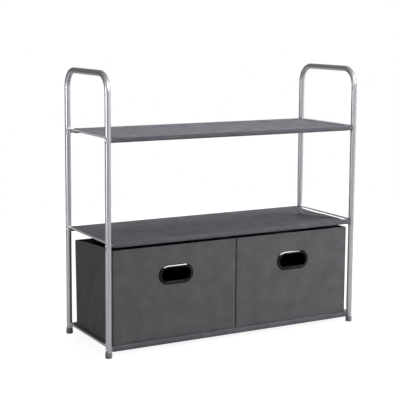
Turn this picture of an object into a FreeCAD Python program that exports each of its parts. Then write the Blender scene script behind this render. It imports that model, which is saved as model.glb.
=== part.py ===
import FreeCAD, Part
import math
import os

# Closet organizer: two bent tube end frames, six cross tubes screwed between them, three
# stretched cloth shelves and two open fabric bins that slide in at the front.
# Millimetres. +X is the width, -Y is the front, +Z is up.
# The origin is on the floor at the middle of the footprint.

os.makedirs("parts", exist_ok=True)

Vector = FreeCAD.Vector
Z_AXIS = Vector(0, 0, 1)

# End frames, which stand just outside the two bins
FRAME_TOP = 757.5
LEG_DIAMETER = 16.0
LEG_WALL = 1.2
BEND_RADIUS = 48.0
BEND_STATIONS = 5

# Tiers: the top cross tubes' height, and the lowest tubes' height over the feet
TOP_TIER = 578.5
TUBE_ABOVE_FOOT = 0.5

# The leg is pressed flat on its two sides at each joint
FLAT_DISTANCE = 5.8
FLAT_HALF_HEIGHT = 6.0

# Sides of small round things: plug collars, screw heads and feet, and the bores and shanks inside
SMALL_SIDES = 12
HIDDEN_SIDES = 8

# Cross tubes, their end plugs and the screws through the legs
CROSS_DIAMETER = 11.0
CROSS_WALL = 1.0
PLUG_COLLAR = 3.0
PLUG_SHANK = 18.0
PLUG_CLEARANCE = 0.05
SCREW_DIAMETER = 4.8
SCREW_GRIP_IN_PLUG = 16.0
SCREW_THREAD_CLEARANCE = 0.05
SCREW_HOLE_CLEARANCE = 0.3
SCREW_HEAD_DIAMETER = 8.8
SCREW_HEAD_RIM = 0.8
SCREW_HEAD_HEIGHT = 2.6
SCREW_HEAD_CROWN_DIAMETER = 5.0

# Side rods, welded from leg to leg a little above the cross tubes
ROD_DIAMETER = 5.0
ROD_RISE = 6.0
WELD_GAP = 0.05

# Feet
FOOT_HEIGHT = 16.5
FOOT_TOP_DIAMETER = 18.2
FOOT_BASE_DIAMETER = 19.0
FOOT_FLOOR = 3.0
FOOT_CLEARANCE = 0.1
FOOT_EDGE = 1.2

# Cloth shelves: sleeves round the cross tubes and a deck between them
CLOTH = 1.0
SLEEVE_CLEARANCE = 0.3
HEM_REACH = 20.0
HEM_SEAM = 3.0
# How far the deck's middle hangs below its hems
TOP_SAG = 3.0
MIDDLE_SAG = 3.0
BOTTOM_SAG = 2.0
# Distances from a leg's axis to the cloth's corner: front left, rear left, rear right, front right
TOP_SHELF_CORNERS = (9.0, 20.6, 9.0, 26.0)
MIDDLE_SHELF_CORNERS = (14.6, 9.4, 17.0, 53.0)
BOTTOM_SHELF_CORNERS = (15.7, 12.0, 12.0, 12.8)

# Bins, and their gaps to each other, the legs, the middle shelf and the bottom shelf
BIN_WIDTH = 376.0
BIN_HEIGHT = 256.2
BIN_TOP_DEPTH = 254.0
BIN_BASE_DEPTH = 246.0
BIN_REAR_DROOP = 15.0
BIN_MIDDLE_DROOP = 5.0
BIN_SPACING = 2.8
BIN_SIDE_GAP = 6.6
BIN_HEAD_GAP = 8.5
BIN_REST_CLEARANCE = 0.7
BIN_FRONT_SETBACK = 4.0
BIN_REAR_SETBACK = 10.0

# Layers of a bin wall, from outside in, and of its floor
COVER = 0.9
BOARD = 2.5
LINING = 0.7
BOTTOM_PANEL = 2.0
RIM_FOLD = 0.8
RIM_TURN_DOWN = 12.0
BASE_BOARD = 3.0
BASE_BOARD_LIFT_GAP = 0.3
BASE_BOARD_SIDE_GAP = 0.7

# Oval grab handles: a bevelled bezel in front, a collar through the wall and a ring behind
HANDLE_HOLE_LENGTH = 88.0
HANDLE_HOLE_HEIGHT = 36.0
HANDLE_RIM = 9.0
HANDLE_DOME = 3.4
HANDLE_INNER_BEVEL = 1.5
HANDLE_OUTER_BEVEL = 4.0
HANDLE_EDGE = 1.0
HANDLE_COLLAR = 2.0
HANDLE_WALL_CLEARANCE = 0.3
HANDLE_SEAT_GAP = 0.1
HANDLE_BACK_THICKNESS = 2.0
HANDLE_BELOW_TOP = 81.0
# Each rounded end of the ovals is drawn in this many straight steps
OVAL_STEPS = 12

# Values worked out from the sizes above
LEG_SPACING_X = 2 * BIN_WIDTH + BIN_SPACING + 2 * BIN_SIDE_GAP + LEG_DIAMETER
LEG_SPACING_Y = BIN_FRONT_SETBACK + BIN_TOP_DEPTH + BIN_REAR_SETBACK
LEG_X = LEG_SPACING_X / 2
LEG_Y = LEG_SPACING_Y / 2
LEG_RADIUS = LEG_DIAMETER / 2
CROSS_RADIUS = CROSS_DIAMETER / 2
CROSS_BORE = CROSS_RADIUS - CROSS_WALL
SCREW_RADIUS = SCREW_DIAMETER / 2
SLEEVE_BORE = CROSS_RADIUS + SLEEVE_CLEARANCE
SLEEVE_RADIUS = SLEEVE_BORE + CLOTH
BOTTOM_TIER = FOOT_HEIGHT + TUBE_ABOVE_FOOT + CROSS_RADIUS
BIN_FLOOR_Z = BOTTOM_TIER + SLEEVE_RADIUS + BIN_REST_CLEARANCE
BIN_RIM_Z = BIN_FLOOR_Z + BIN_HEIGHT
MIDDLE_TIER = BIN_RIM_Z + BIN_HEAD_GAP + SLEEVE_RADIUS
TIERS = {"top": TOP_TIER, "middle": MIDDLE_TIER, "bottom": BOTTOM_TIER}
BIN_TOP_Z = BIN_RIM_Z - RIM_FOLD
BIN_FRONT_Y = -LEG_Y + BIN_FRONT_SETBACK
BIN_INNER_X = BIN_SPACING / 2
BIN_OUTER_X = BIN_INNER_X + BIN_WIDTH
BIN_WALL = COVER + BOARD + LINING
BIN_LEAN = math.atan2(BIN_TOP_DEPTH - BIN_BASE_DEPTH, BIN_HEIGHT)
HANDLE_X = (BIN_INNER_X + BIN_OUTER_X) / 2
HANDLE_Z = BIN_RIM_Z - HANDLE_BELOW_TOP
HANDLE_HALF_HEIGHT = HANDLE_HOLE_HEIGHT / 2
HANDLE_HALF_RUN = (HANDLE_HOLE_LENGTH - HANDLE_HOLE_HEIGHT) / 2
BEYOND = 20.0


def save(name, shape):
    """Write one sub-part to its own file."""
    shape.exportStep("parts/" + name + ".step")


def outline(points):
    """A closed flat face through straight-sided points."""
    return Part.Face(Part.makePolygon(points + [points[0]]))


def arc(start, middle, end):
    """A circular edge through three points."""
    return Part.Arc(start, middle, end).toShape()


def line(start, end):
    """A straight edge."""
    return Part.LineSegment(start, end).toShape()


def box(low, high):
    """A box between two corners."""
    size = high - low
    return Part.makeBox(size.x, size.y, size.z, low)


def rod(radius, start, end):
    """A round bar between two points."""
    run = end - start
    return Part.makeCylinder(radius, run.Length, start, run)


def many_sided_wire(sides, radius, centre):
    """A regular outline across the X axis, by the distance to its corners."""
    corners = []
    for index in range(sides):
        angle = 2 * math.pi * index / sides
        corners.append(centre + Vector(0, radius * math.cos(angle), radius * math.sin(angle)))
    return Part.makePolygon(corners + [corners[0]])


def upright_wire(sides, radius, centre):
    """A regular outline across the Z axis, by the distance to its corners."""
    ring = many_sided_wire(sides, radius, Vector(0, 0, 0))
    ring.rotate(Vector(0, 0, 0), Vector(0, 1, 0), 90)
    return ring.translated(centre)


def many_sided_bar(sides, radius, start, end):
    """A bar along X with a regular many-sided section."""
    return Part.Face(many_sided_wire(sides, radius, start)).extrude(end - start)


def flat_sided_form(wires):
    """A solid with flat faces between outlines that have the same count of corners."""
    faces = [Part.Face(wires[0]), Part.Face(wires[-1])]
    for low_wire, high_wire in zip(wires, wires[1:]):
        low = [vertex.Point for vertex in low_wire.OrderedVertexes]
        high = [vertex.Point for vertex in high_wire.OrderedVertexes]
        for index in range(len(low)):
            faces.append(outline([low[index - 1], low[index], high[index], high[index - 1]]))
    shell = Part.makeShell(faces)
    shell.sewShape()
    form = Part.makeSolid(shell)
    if form.Volume < 0:
        form.reverse()
    return form


def hole_corner(sides, radius):
    """The corner distance of a many-sided hole that a round bar of this radius just passes."""
    return radius / math.cos(math.pi / sides)


def bore_corner(radius):
    """The corner distance of a hidden bore, or of what fills it, with the area of a round one."""
    area_share = HIDDEN_SIDES * math.sin(2 * math.pi / HIDDEN_SIDES) / (2 * math.pi)
    return radius / math.sqrt(area_share)


# End frames

def tube_section(inset, centre):
    """The bent tube's outline across the Z axis: round outside, many-sided where it is the bore."""
    if inset > 0:
        return upright_wire(HIDDEN_SIDES, bore_corner(LEG_RADIUS - inset), centre)
    return Part.Wire(Part.makeCircle(LEG_RADIUS, centre, Z_AXIS))


def leg_form(inset):
    """The leg's outside at no inset, or its bore when inset by the wall, on the Z axis."""
    length = FRAME_TOP - LEG_RADIUS - BEND_RADIUS - FOOT_FLOOR
    form = Part.Face(tube_section(inset, Vector(0, 0, FOOT_FLOOR))).extrude(Vector(0, 0, length))
    for tier in TIERS.values():
        for side in (-1, 1):
            form = form.cut(flat_cutter(side, tier, inset))
    return form


def flat_cutter(side, tier, inset):
    """The material that the press moves away where a joint's flat is made, with sloped shoulders."""
    near = FLAT_DISTANCE - inset
    far = LEG_RADIUS + 1.0
    low = FLAT_HALF_HEIGHT + inset * math.tan(math.pi / 8)
    high = low + far - near
    points = [
        Vector(side * near, -LEG_RADIUS, tier - low),
        Vector(side * far, -LEG_RADIUS, tier - high),
        Vector(side * far, -LEG_RADIUS, tier + high),
        Vector(side * near, -LEG_RADIUS, tier + low),
    ]
    return outline(points).extrude(Vector(0, LEG_DIAMETER, 0))


def bend_sections(inset, side):
    """The tube's outlines round a quarter bend, from the leg's top to the top run."""
    spot = Vector(0, side * LEG_Y, FRAME_TOP - LEG_RADIUS - BEND_RADIUS)
    pivot = spot - Vector(0, side * BEND_RADIUS, 0)
    sections = []
    for station in range(BEND_STATIONS + 1):
        section = tube_section(inset, spot)
        section.rotate(pivot, Vector(side, 0, 0), 90 * station / BEND_STATIONS)
        sections.append(section)
    return sections


def bend_form(inset, side):
    """A quarter bend that runs straight from outline to outline."""
    sections = bend_sections(inset, side)
    if inset > 0:
        return flat_sided_form(sections)
    return Part.makeLoft(sections, True, True)


def end_frame_form(inset):
    """Two legs, two bends and the top run as one solid on the plane x = 0."""
    run = Vector(0, 2 * (LEG_Y - BEND_RADIUS), 0)
    leg = leg_form(inset)
    form = Part.Face(bend_sections(inset, -1)[-1]).extrude(run)
    for side in (-1, 1):
        form = form.fuse([bend_form(inset, side), leg.translated(Vector(0, side * LEG_Y, 0))])
    return form.removeSplitter()


FRAME_OUTSIDE = end_frame_form(0.0)
FRAME_BORE = end_frame_form(LEG_WALL)


def end_tube(side):
    """One end frame's bent tube with a screw hole through each flattened joint."""
    tube = FRAME_OUTSIDE.cut(FRAME_BORE)
    hole_radius = hole_corner(HIDDEN_SIDES, SCREW_RADIUS + SCREW_HOLE_CLEARANCE)
    for tier in TIERS.values():
        for y in (-LEG_Y, LEG_Y):
            start = Vector(-LEG_RADIUS, y, tier)
            end = Vector(LEG_RADIUS, y, tier)
            tube = tube.cut(many_sided_bar(HIDDEN_SIDES, hole_radius, start, end))
    return tube.translated(Vector(side * LEG_X, 0, 0))


def side_rod(side, tier):
    """A straight rod coped to the two legs that it is welded to."""
    start = Vector(side * LEG_X, -LEG_Y, tier + ROD_RISE)
    end = Vector(side * LEG_X, LEG_Y, tier + ROD_RISE)
    bar = rod(ROD_DIAMETER / 2, start, end)
    for y in (-LEG_Y, LEG_Y):
        leg_axis = Vector(side * LEG_X, y, tier)
        bar = bar.cut(rod(LEG_RADIUS + WELD_GAP, leg_axis, leg_axis + Vector(0, 0, 2 * ROD_RISE)))
    return bar


# Cross tubes and their joints

def cross_tube(y, tier):
    """A plain tube that ends against the collars of its two plugs."""
    end_x = LEG_X - FLAT_DISTANCE - PLUG_COLLAR
    start = Vector(-end_x, y, tier)
    end = Vector(end_x, y, tier)
    bore = many_sided_bar(HIDDEN_SIDES, bore_corner(CROSS_BORE), start, end)
    return rod(CROSS_RADIUS, start, end).cut(bore)


def end_plug(side, y, tier):
    """A plug in the cross tube, whose collar sits on the leg's inner flat."""
    face = Vector(side * (LEG_X - FLAT_DISTANCE), y, tier)
    inward = Vector(-side, 0, 0)
    shoulder = face + inward * PLUG_COLLAR
    tip = shoulder + inward * PLUG_SHANK
    shank_corner = bore_corner(CROSS_BORE - PLUG_CLEARANCE)
    plug = many_sided_bar(SMALL_SIDES, CROSS_RADIUS, face, shoulder)
    plug = plug.fuse(many_sided_bar(HIDDEN_SIDES, shank_corner, shoulder, tip))
    thread_radius = SCREW_RADIUS + SCREW_THREAD_CLEARANCE
    return plug.cut(many_sided_bar(HIDDEN_SIDES, thread_radius, face, tip))


def frame_screw(side, y, tier):
    """A screw with a raised head, from outside the leg into the plug."""
    seat = Vector(side * (LEG_X + FLAT_DISTANCE), y, tier)
    rim = seat + Vector(side * SCREW_HEAD_RIM, 0, 0)
    crown = seat + Vector(side * SCREW_HEAD_HEIGHT, 0, 0)
    tip = Vector(side * (LEG_X - FLAT_DISTANCE - SCREW_GRIP_IN_PLUG), y, tier)
    head_radius = SCREW_HEAD_DIAMETER / 2
    head = flat_sided_form([
        many_sided_wire(SMALL_SIDES, head_radius, seat),
        many_sided_wire(SMALL_SIDES, head_radius, rim),
        many_sided_wire(SMALL_SIDES, SCREW_HEAD_CROWN_DIAMETER / 2, crown),
    ])
    return head.fuse(many_sided_bar(HIDDEN_SIDES, SCREW_RADIUS, seat, tip))


def joints(make):
    """One solid at each of the twelve frame joints, kept apart in one group."""
    solids = []
    for tier in TIERS.values():
        for side in (-1, 1):
            for y in (-LEG_Y, LEG_Y):
                solids.append(make(side, y, tier))
    return Part.makeCompound(solids)


def foot_wire(radius, height):
    """A many-sided outline round the Z axis that a circle of this radius just fits inside."""
    return upright_wire(SMALL_SIDES, hole_corner(SMALL_SIDES, radius), Vector(0, 0, height))


def foot(side, y):
    """A many-sided plastic cap that flares to the floor, with the leg's end inside it."""
    base_radius = FOOT_BASE_DIAMETER / 2
    cap = flat_sided_form([
        foot_wire(base_radius - FOOT_EDGE / 2, 0.0),
        foot_wire(base_radius, FOOT_EDGE),
        foot_wire(FOOT_TOP_DIAMETER / 2, FOOT_HEIGHT),
    ])
    socket = Part.Face(foot_wire(LEG_RADIUS + FOOT_CLEARANCE, FOOT_FLOOR))
    cap = cap.cut(socket.extrude(Vector(0, 0, FOOT_HEIGHT)))
    return cap.translated(Vector(side * LEG_X, y, 0))


# Cloth shelves

def tangent_point(centre, radius, tip, toward_front):
    """Where a straight line from the tip touches the underside of a circle on the YZ plane."""
    gap_y = tip.y - centre.y
    gap_z = tip.z - centre.z
    distance = math.hypot(gap_y, gap_z)
    swing = math.acos(radius / distance)
    turn = swing if toward_front else -swing
    angle = math.atan2(gap_z, gap_y) + turn
    return Vector(tip.x, centre.y + radius * math.cos(angle), centre.z + radius * math.sin(angle))


def hem_form(row, tier, radius, reach, tail_z, length):
    """A bar of tear-shaped section: round at the tube, drawn out flat towards the deck."""
    start_x = -LEG_X
    centre = Vector(start_x, row * LEG_Y, tier)
    crest = centre + Vector(0, 0, radius)
    tail_y = row * (LEG_Y - reach)
    tail_top = Vector(start_x, tail_y, crest.z)
    tail_base = Vector(start_x, tail_y, tail_z)
    touch = tangent_point(centre, radius, tail_base, row > 0)
    corners = [crest, tail_top, touch, centre]
    if tail_z < crest.z:
        corners = [crest, tail_top, tail_base, touch, centre]
    tail = outline(corners).extrude(Vector(length, 0, 0))
    return rod(radius, centre, centre + Vector(length, 0, 0)).fuse(tail)


def shelf(tier, sag, corners):
    """Deck and two sleeves as one cloth, cut to the plan of its four corners."""
    length = LEG_SPACING_X
    crest = tier + SLEEVE_RADIUS
    seam_y = LEG_Y - HEM_REACH
    left = -LEG_X
    deck_edges = [
        arc(Vector(left, -seam_y, crest), Vector(left, 0, crest - sag), Vector(left, seam_y, crest)),
        line(Vector(left, seam_y, crest), Vector(left, seam_y, crest - CLOTH)),
        arc(
            Vector(left, seam_y, crest - CLOTH),
            Vector(left, 0, crest - CLOTH - sag),
            Vector(left, -seam_y, crest - CLOTH),
        ),
        line(Vector(left, -seam_y, crest - CLOTH), Vector(left, -seam_y, crest)),
    ]
    cloth = Part.Face(Part.Wire(deck_edges)).extrude(Vector(length, 0, 0))
    for row in (-1, 1):
        outside = hem_form(row, tier, SLEEVE_RADIUS, HEM_REACH, crest - 2 * CLOTH, length)
        inside = hem_form(row, tier, SLEEVE_BORE, HEM_REACH - HEM_SEAM, crest - CLOTH, length)
        cloth = cloth.fuse(outside.cut(inside))
    front_left, rear_left, rear_right, front_right = corners
    edge_y = LEG_Y + SLEEVE_RADIUS + BEYOND
    low = tier - BEYOND
    plan = outline([
        plan_corner(-1, -1, front_left, front_left - rear_left, edge_y, low),
        plan_corner(-1, 1, rear_left, rear_left - front_left, edge_y, low),
        plan_corner(1, 1, rear_right, rear_right - front_right, edge_y, low),
        plan_corner(1, -1, front_right, front_right - rear_right, edge_y, low),
    ])
    return cloth.removeSplitter().common(plan.extrude(Vector(0, 0, 2 * BEYOND)))


def plan_corner(side, row, distance, slant, edge_y, z):
    """A corner of the shelf's plan, carried past the leg's line along the slanted end."""
    overrun = (edge_y - LEG_Y) / LEG_SPACING_Y
    return Vector(side * (LEG_X - distance - slant * overrun), row * edge_y, z)


# Bins

def below_rim(rise):
    """Everything under the bins' top edge, which falls away to the rear, raised by rise."""
    left = -BEYOND
    front_y = BIN_FRONT_Y
    rear_y = front_y + BIN_TOP_DEPTH
    front = Vector(left, front_y, BIN_TOP_Z + rise)
    middle = Vector(left, (front_y + rear_y) / 2, BIN_TOP_Z + rise - BIN_MIDDLE_DROOP)
    rear = Vector(left, rear_y, BIN_TOP_Z + rise - BIN_REAR_DROOP)
    before = Vector(left, front_y - BEYOND, front.z)
    after = Vector(left, rear_y + BEYOND, rear.z - BEYOND * BIN_REAR_DROOP / BIN_TOP_DEPTH)
    floor = BIN_FLOOR_Z - BEYOND
    edges = [
        line(before, front),
        arc(front, middle, rear),
        line(rear, after),
        line(after, Vector(left, after.y, floor)),
        line(Vector(left, after.y, floor), Vector(left, before.y, floor)),
        line(Vector(left, before.y, floor), before),
    ]
    return Part.Face(Part.Wire(edges)).extrude(Vector(BIN_OUTER_X + 2 * BEYOND, 0, 0))


def bin_block(outer=0.0, inner=0.0, front=0.0, rear=0.0, floor=0.0, rise=0.0):
    """The right bin's outside as a solid, with each side set in and the top edge raised."""
    rear_inset = rear / math.cos(BIN_LEAN)
    low_z = BIN_FLOOR_Z + floor
    high_z = BIN_TOP_Z + BEYOND
    base_y = BIN_FRONT_Y + BIN_BASE_DEPTH - rear_inset
    low_rear = base_y + floor * math.tan(BIN_LEAN)
    high_rear = base_y + (high_z - BIN_FLOOR_Z) * math.tan(BIN_LEAN)
    left = BIN_INNER_X + inner
    side = outline([
        Vector(left, BIN_FRONT_Y + front, low_z),
        Vector(left, BIN_FRONT_Y + front, high_z),
        Vector(left, high_rear, high_z),
        Vector(left, low_rear, low_z),
    ])
    width = BIN_OUTER_X - outer - left
    return side.extrude(Vector(width, 0, 0)).common(below_rim(rise))


def inset_block(inset, floor=0.0, rise=0.0):
    """The right bin's outside with its four walls set in alike."""
    return bin_block(inset, inset, inset, inset, floor, rise)


def oval_wire(radius, y):
    """The handle hole's shape as a closed outline: two straight runs and two rounded ends."""
    corners = []
    for side in (1, -1):
        centre = Vector(HANDLE_X + side * HANDLE_HALF_RUN, y, HANDLE_Z)
        for step in range(OVAL_STEPS + 1):
            angle = math.pi * step / OVAL_STEPS
            turned = Vector(side * radius * math.sin(angle), 0, side * radius * math.cos(angle))
            corners.append(centre + turned)
    return Part.makePolygon(corners + [corners[0]])


def oval_form(*stations):
    """A solid through ovals, each given as its end radius and its Y."""
    return flat_sided_form([oval_wire(radius, y) for radius, y in stations])


def handle_bezel():
    """The domed front ring with the collar that passes through the wall."""
    face_y = BIN_FRONT_Y - HANDLE_SEAT_GAP
    crown_y = face_y - HANDLE_DOME
    back_y = BIN_FRONT_Y + BIN_WALL + HANDLE_SEAT_GAP + HANDLE_BACK_THICKNESS
    inner = HANDLE_HALF_HEIGHT
    outer = inner + HANDLE_RIM
    collar = inner + HANDLE_COLLAR
    flange = oval_form(
        (outer, face_y),
        (outer, face_y - HANDLE_EDGE),
        (outer - HANDLE_OUTER_BEVEL, crown_y),
    )
    hole = oval_form(
        (inner + HANDLE_INNER_BEVEL, crown_y),
        (inner, crown_y + HANDLE_INNER_BEVEL),
        (inner, back_y),
    )
    return flange.fuse(oval_form((collar, face_y), (collar, back_y))).cut(hole)


def handle_back():
    """The flat ring that the collar snaps into, inside the bin."""
    front_y = BIN_FRONT_Y + BIN_WALL + HANDLE_SEAT_GAP
    back_y = front_y + HANDLE_BACK_THICKNESS
    inner = HANDLE_HALF_HEIGHT + HANDLE_COLLAR + HANDLE_SEAT_GAP
    outer = HANDLE_HALF_HEIGHT + HANDLE_RIM - HANDLE_SEAT_GAP
    return oval_form((outer, front_y), (outer, back_y)).cut(oval_form((inner, front_y), (inner, back_y)))


def bin_parts():
    """The right bin's pieces by name."""
    cut_radius = HANDLE_HALF_HEIGHT + HANDLE_COLLAR + HANDLE_WALL_CLEARANCE
    hole = oval_form((cut_radius, BIN_FRONT_Y - BEYOND), (cut_radius, BIN_FRONT_Y + BEYOND))
    boards_out = COVER + BOARD
    core = inset_block(COVER, BOTTOM_PANEL)
    between = bin_block(COVER, COVER, boards_out, boards_out, BOTTOM_PANEL)
    well = inset_block(BIN_WALL, BOTTOM_PANEL + LINING)
    bottom_panel = inset_block(COVER).common(slab(BIN_FLOOR_Z, BIN_FLOOR_Z + BOTTOM_PANEL))
    cover = inset_block(0.0).cut(inset_block(COVER, 0.0, BEYOND / 2)).cut(hole)
    front_board = core.cut(bin_block(COVER, COVER, boards_out, COVER, BOTTOM_PANEL)).cut(hole)
    rear_board = core.cut(bin_block(COVER, COVER, COVER, boards_out, BOTTOM_PANEL))
    outer_board = between.cut(bin_block(boards_out, COVER, boards_out, boards_out, BOTTOM_PANEL))
    inner_board = between.cut(bin_block(COVER, boards_out, boards_out, boards_out, BOTTOM_PANEL))
    lining = inset_block(boards_out, BOTTOM_PANEL).cut(well).cut(hole)
    return {
        "cover": cover,
        "bottom_panel": bottom_panel,
        "front_board": front_board,
        "rear_board": rear_board,
        "outer_board": outer_board,
        "inner_board": inner_board,
        "lining": lining,
        "rim": rim_fold(),
        "handle": handle_bezel(),
        "handle_back": handle_back(),
        "base_board": base_board(),
    }


def slab(low_z, high_z):
    """A wide level slab over the right bin's plan."""
    low = Vector(BIN_INNER_X - BEYOND, BIN_FRONT_Y - BEYOND, low_z)
    high = Vector(BIN_OUTER_X + BEYOND, BIN_FRONT_Y + BIN_TOP_DEPTH + BEYOND, high_z)
    return box(low, high)


def rim_fold():
    """Cloth turned over the wall's top edge and down its inside."""
    outside = inset_block(0.0, 0.0, RIM_FOLD)
    opening = inset_block(BIN_WALL + RIM_FOLD, 0.0, BEYOND / 2)
    wall = inset_block(0.0).cut(inset_block(BIN_WALL, 0.0, BEYOND / 2))
    return outside.cut(opening).cut(wall).cut(inset_block(0.0, 0.0, -RIM_TURN_DOWN))


def base_board():
    """The loose stiff board on the bin's floor, clear of the walls and of the handle's ring."""
    side_gap = BIN_WALL + RIM_FOLD + BASE_BOARD_SIDE_GAP
    front_gap = BIN_WALL + HANDLE_SEAT_GAP + HANDLE_BACK_THICKNESS + BASE_BOARD_SIDE_GAP
    low = BIN_FLOOR_Z + BOTTOM_PANEL + LINING + BASE_BOARD_LIFT_GAP
    board = bin_block(side_gap, side_gap, front_gap, side_gap)
    return board.common(slab(low, low + BASE_BOARD))


# Write every sub-part
for name, side in (("left", -1), ("right", 1)):
    save(name + "_end_tube", end_tube(side))
    for tier_name, tier in TIERS.items():
        save(name + "_" + tier_name + "_rod", side_rod(side, tier))
    save("foot_front_" + name, foot(side, -LEG_Y))
    save("foot_rear_" + name, foot(side, LEG_Y))

for tier_name, tier in TIERS.items():
    save(tier_name + "_front_tube", cross_tube(-LEG_Y, tier))
    save(tier_name + "_rear_tube", cross_tube(LEG_Y, tier))

save("tube_end_plugs", joints(end_plug))
save("frame_screws", joints(frame_screw))

save("top_shelf", shelf(TOP_TIER, TOP_SAG, TOP_SHELF_CORNERS))
save("middle_shelf", shelf(MIDDLE_TIER, MIDDLE_SAG, MIDDLE_SHELF_CORNERS))
save("bottom_shelf", shelf(BOTTOM_TIER, BOTTOM_SAG, BOTTOM_SHELF_CORNERS))

for piece, shape in bin_parts().items():
    save("right_bin_" + piece, shape)
    save("left_bin_" + piece, shape.mirror(Vector(0, 0, 0), Vector(1, 0, 0)))
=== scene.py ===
"""Closet organizer: a silver tube frame, three stretched cloth shelves and two fabric bins.

Everything is in metres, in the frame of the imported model: +X is the width, -Y the front, +Z up.
"""

import logging
import math
from dataclasses import dataclass, field
from enum import Enum

import bmesh
import bpy
import numpy as np
from mathutils import Matrix, Vector


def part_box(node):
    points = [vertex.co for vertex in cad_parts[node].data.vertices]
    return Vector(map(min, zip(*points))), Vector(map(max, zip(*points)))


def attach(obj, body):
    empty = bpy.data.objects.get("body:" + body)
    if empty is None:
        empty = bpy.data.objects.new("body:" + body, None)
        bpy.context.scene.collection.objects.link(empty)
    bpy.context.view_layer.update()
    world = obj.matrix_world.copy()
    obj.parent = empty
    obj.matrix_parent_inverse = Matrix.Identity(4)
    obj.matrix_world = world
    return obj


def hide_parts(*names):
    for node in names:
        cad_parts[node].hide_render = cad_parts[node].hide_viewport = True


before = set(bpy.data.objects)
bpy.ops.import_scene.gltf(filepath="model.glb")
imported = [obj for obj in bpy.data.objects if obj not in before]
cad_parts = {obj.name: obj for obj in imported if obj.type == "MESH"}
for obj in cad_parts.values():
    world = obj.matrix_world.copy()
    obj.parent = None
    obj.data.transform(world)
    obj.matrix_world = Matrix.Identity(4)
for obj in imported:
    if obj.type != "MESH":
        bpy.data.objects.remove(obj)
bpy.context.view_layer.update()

MM = 0.001
MIRROR = np.array([-1.0, 1.0, 1.0])
SHARP_EDGE = 35.0
WHITE = (1.0, 1.0, 1.0, 1.0)
LOG = logging.getLogger("closet_organizer")
Socket = bpy.types.NodeSocket


class Side(Enum):
    """The two ends of the organizer, by the sign of X."""

    LEFT = -1
    RIGHT = 1


class Row(Enum):
    """The two long sides of the organizer, by the sign of Y."""

    FRONT = -1
    REAR = 1


class Tier(Enum):
    """The three heights at which a shelf is stretched."""

    TOP = "top"
    MIDDLE = "middle"
    BOTTOM = "bottom"

    @property
    def joint(self) -> str:
        """Name the tube recipe's input for this height."""
        return self.value.title() + " Joint"


def linear(hex_colour: str) -> tuple[float, float, float, float]:
    """Turn an sRGB hex colour into linear light.

    Args:
        hex_colour: Six hex digits after a hash.

    Returns:
        Red, green, blue and an alpha of one.
    """
    parts = [int(hex_colour[place:place + 2], 16) / 255 for place in (1, 3, 5)]
    light = [p / 12.92 if p <= 0.04045 else ((p + 0.055) / 1.055) ** 2.4 for p in parts]
    return (light[0], light[1], light[2], 1.0)


def add_node(tree: bpy.types.NodeTree, kind: str, settings: dict | None = None,
             inputs: dict | None = None) -> bpy.types.Node:
    """Add one node with its settings, values and links.

    Args:
        tree: The tree that gets the node.
        kind: The node's type name.
        settings: Properties of the node by name.
        inputs: Values or output sockets, by input name or index.

    Returns:
        The new node.
    """
    node = tree.nodes.new(kind)
    for key, value in (settings or {}).items():
        setattr(node, key, value)
    for key, value in (inputs or {}).items():
        if isinstance(value, Socket):
            tree.links.new(value, node.inputs[key])
        else:
            node.inputs[key].default_value = value
    return node


def smooth_step(value: np.ndarray | float, low: float, high: float) -> np.ndarray:
    """Rise smoothly from 0 at low to 1 at high."""
    share = np.clip((np.asarray(value, float) - low) / (high - low), 0.0, 1.0)
    return share * share * (3 - 2 * share)


def in_scene(name: str, data: bpy.types.ID) -> bpy.types.Object:
    """Make an object of a mesh, lamp or camera and link it into the scene."""
    made = bpy.data.objects.new(name, data)
    bpy.context.scene.collection.objects.link(made)
    return made


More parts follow.
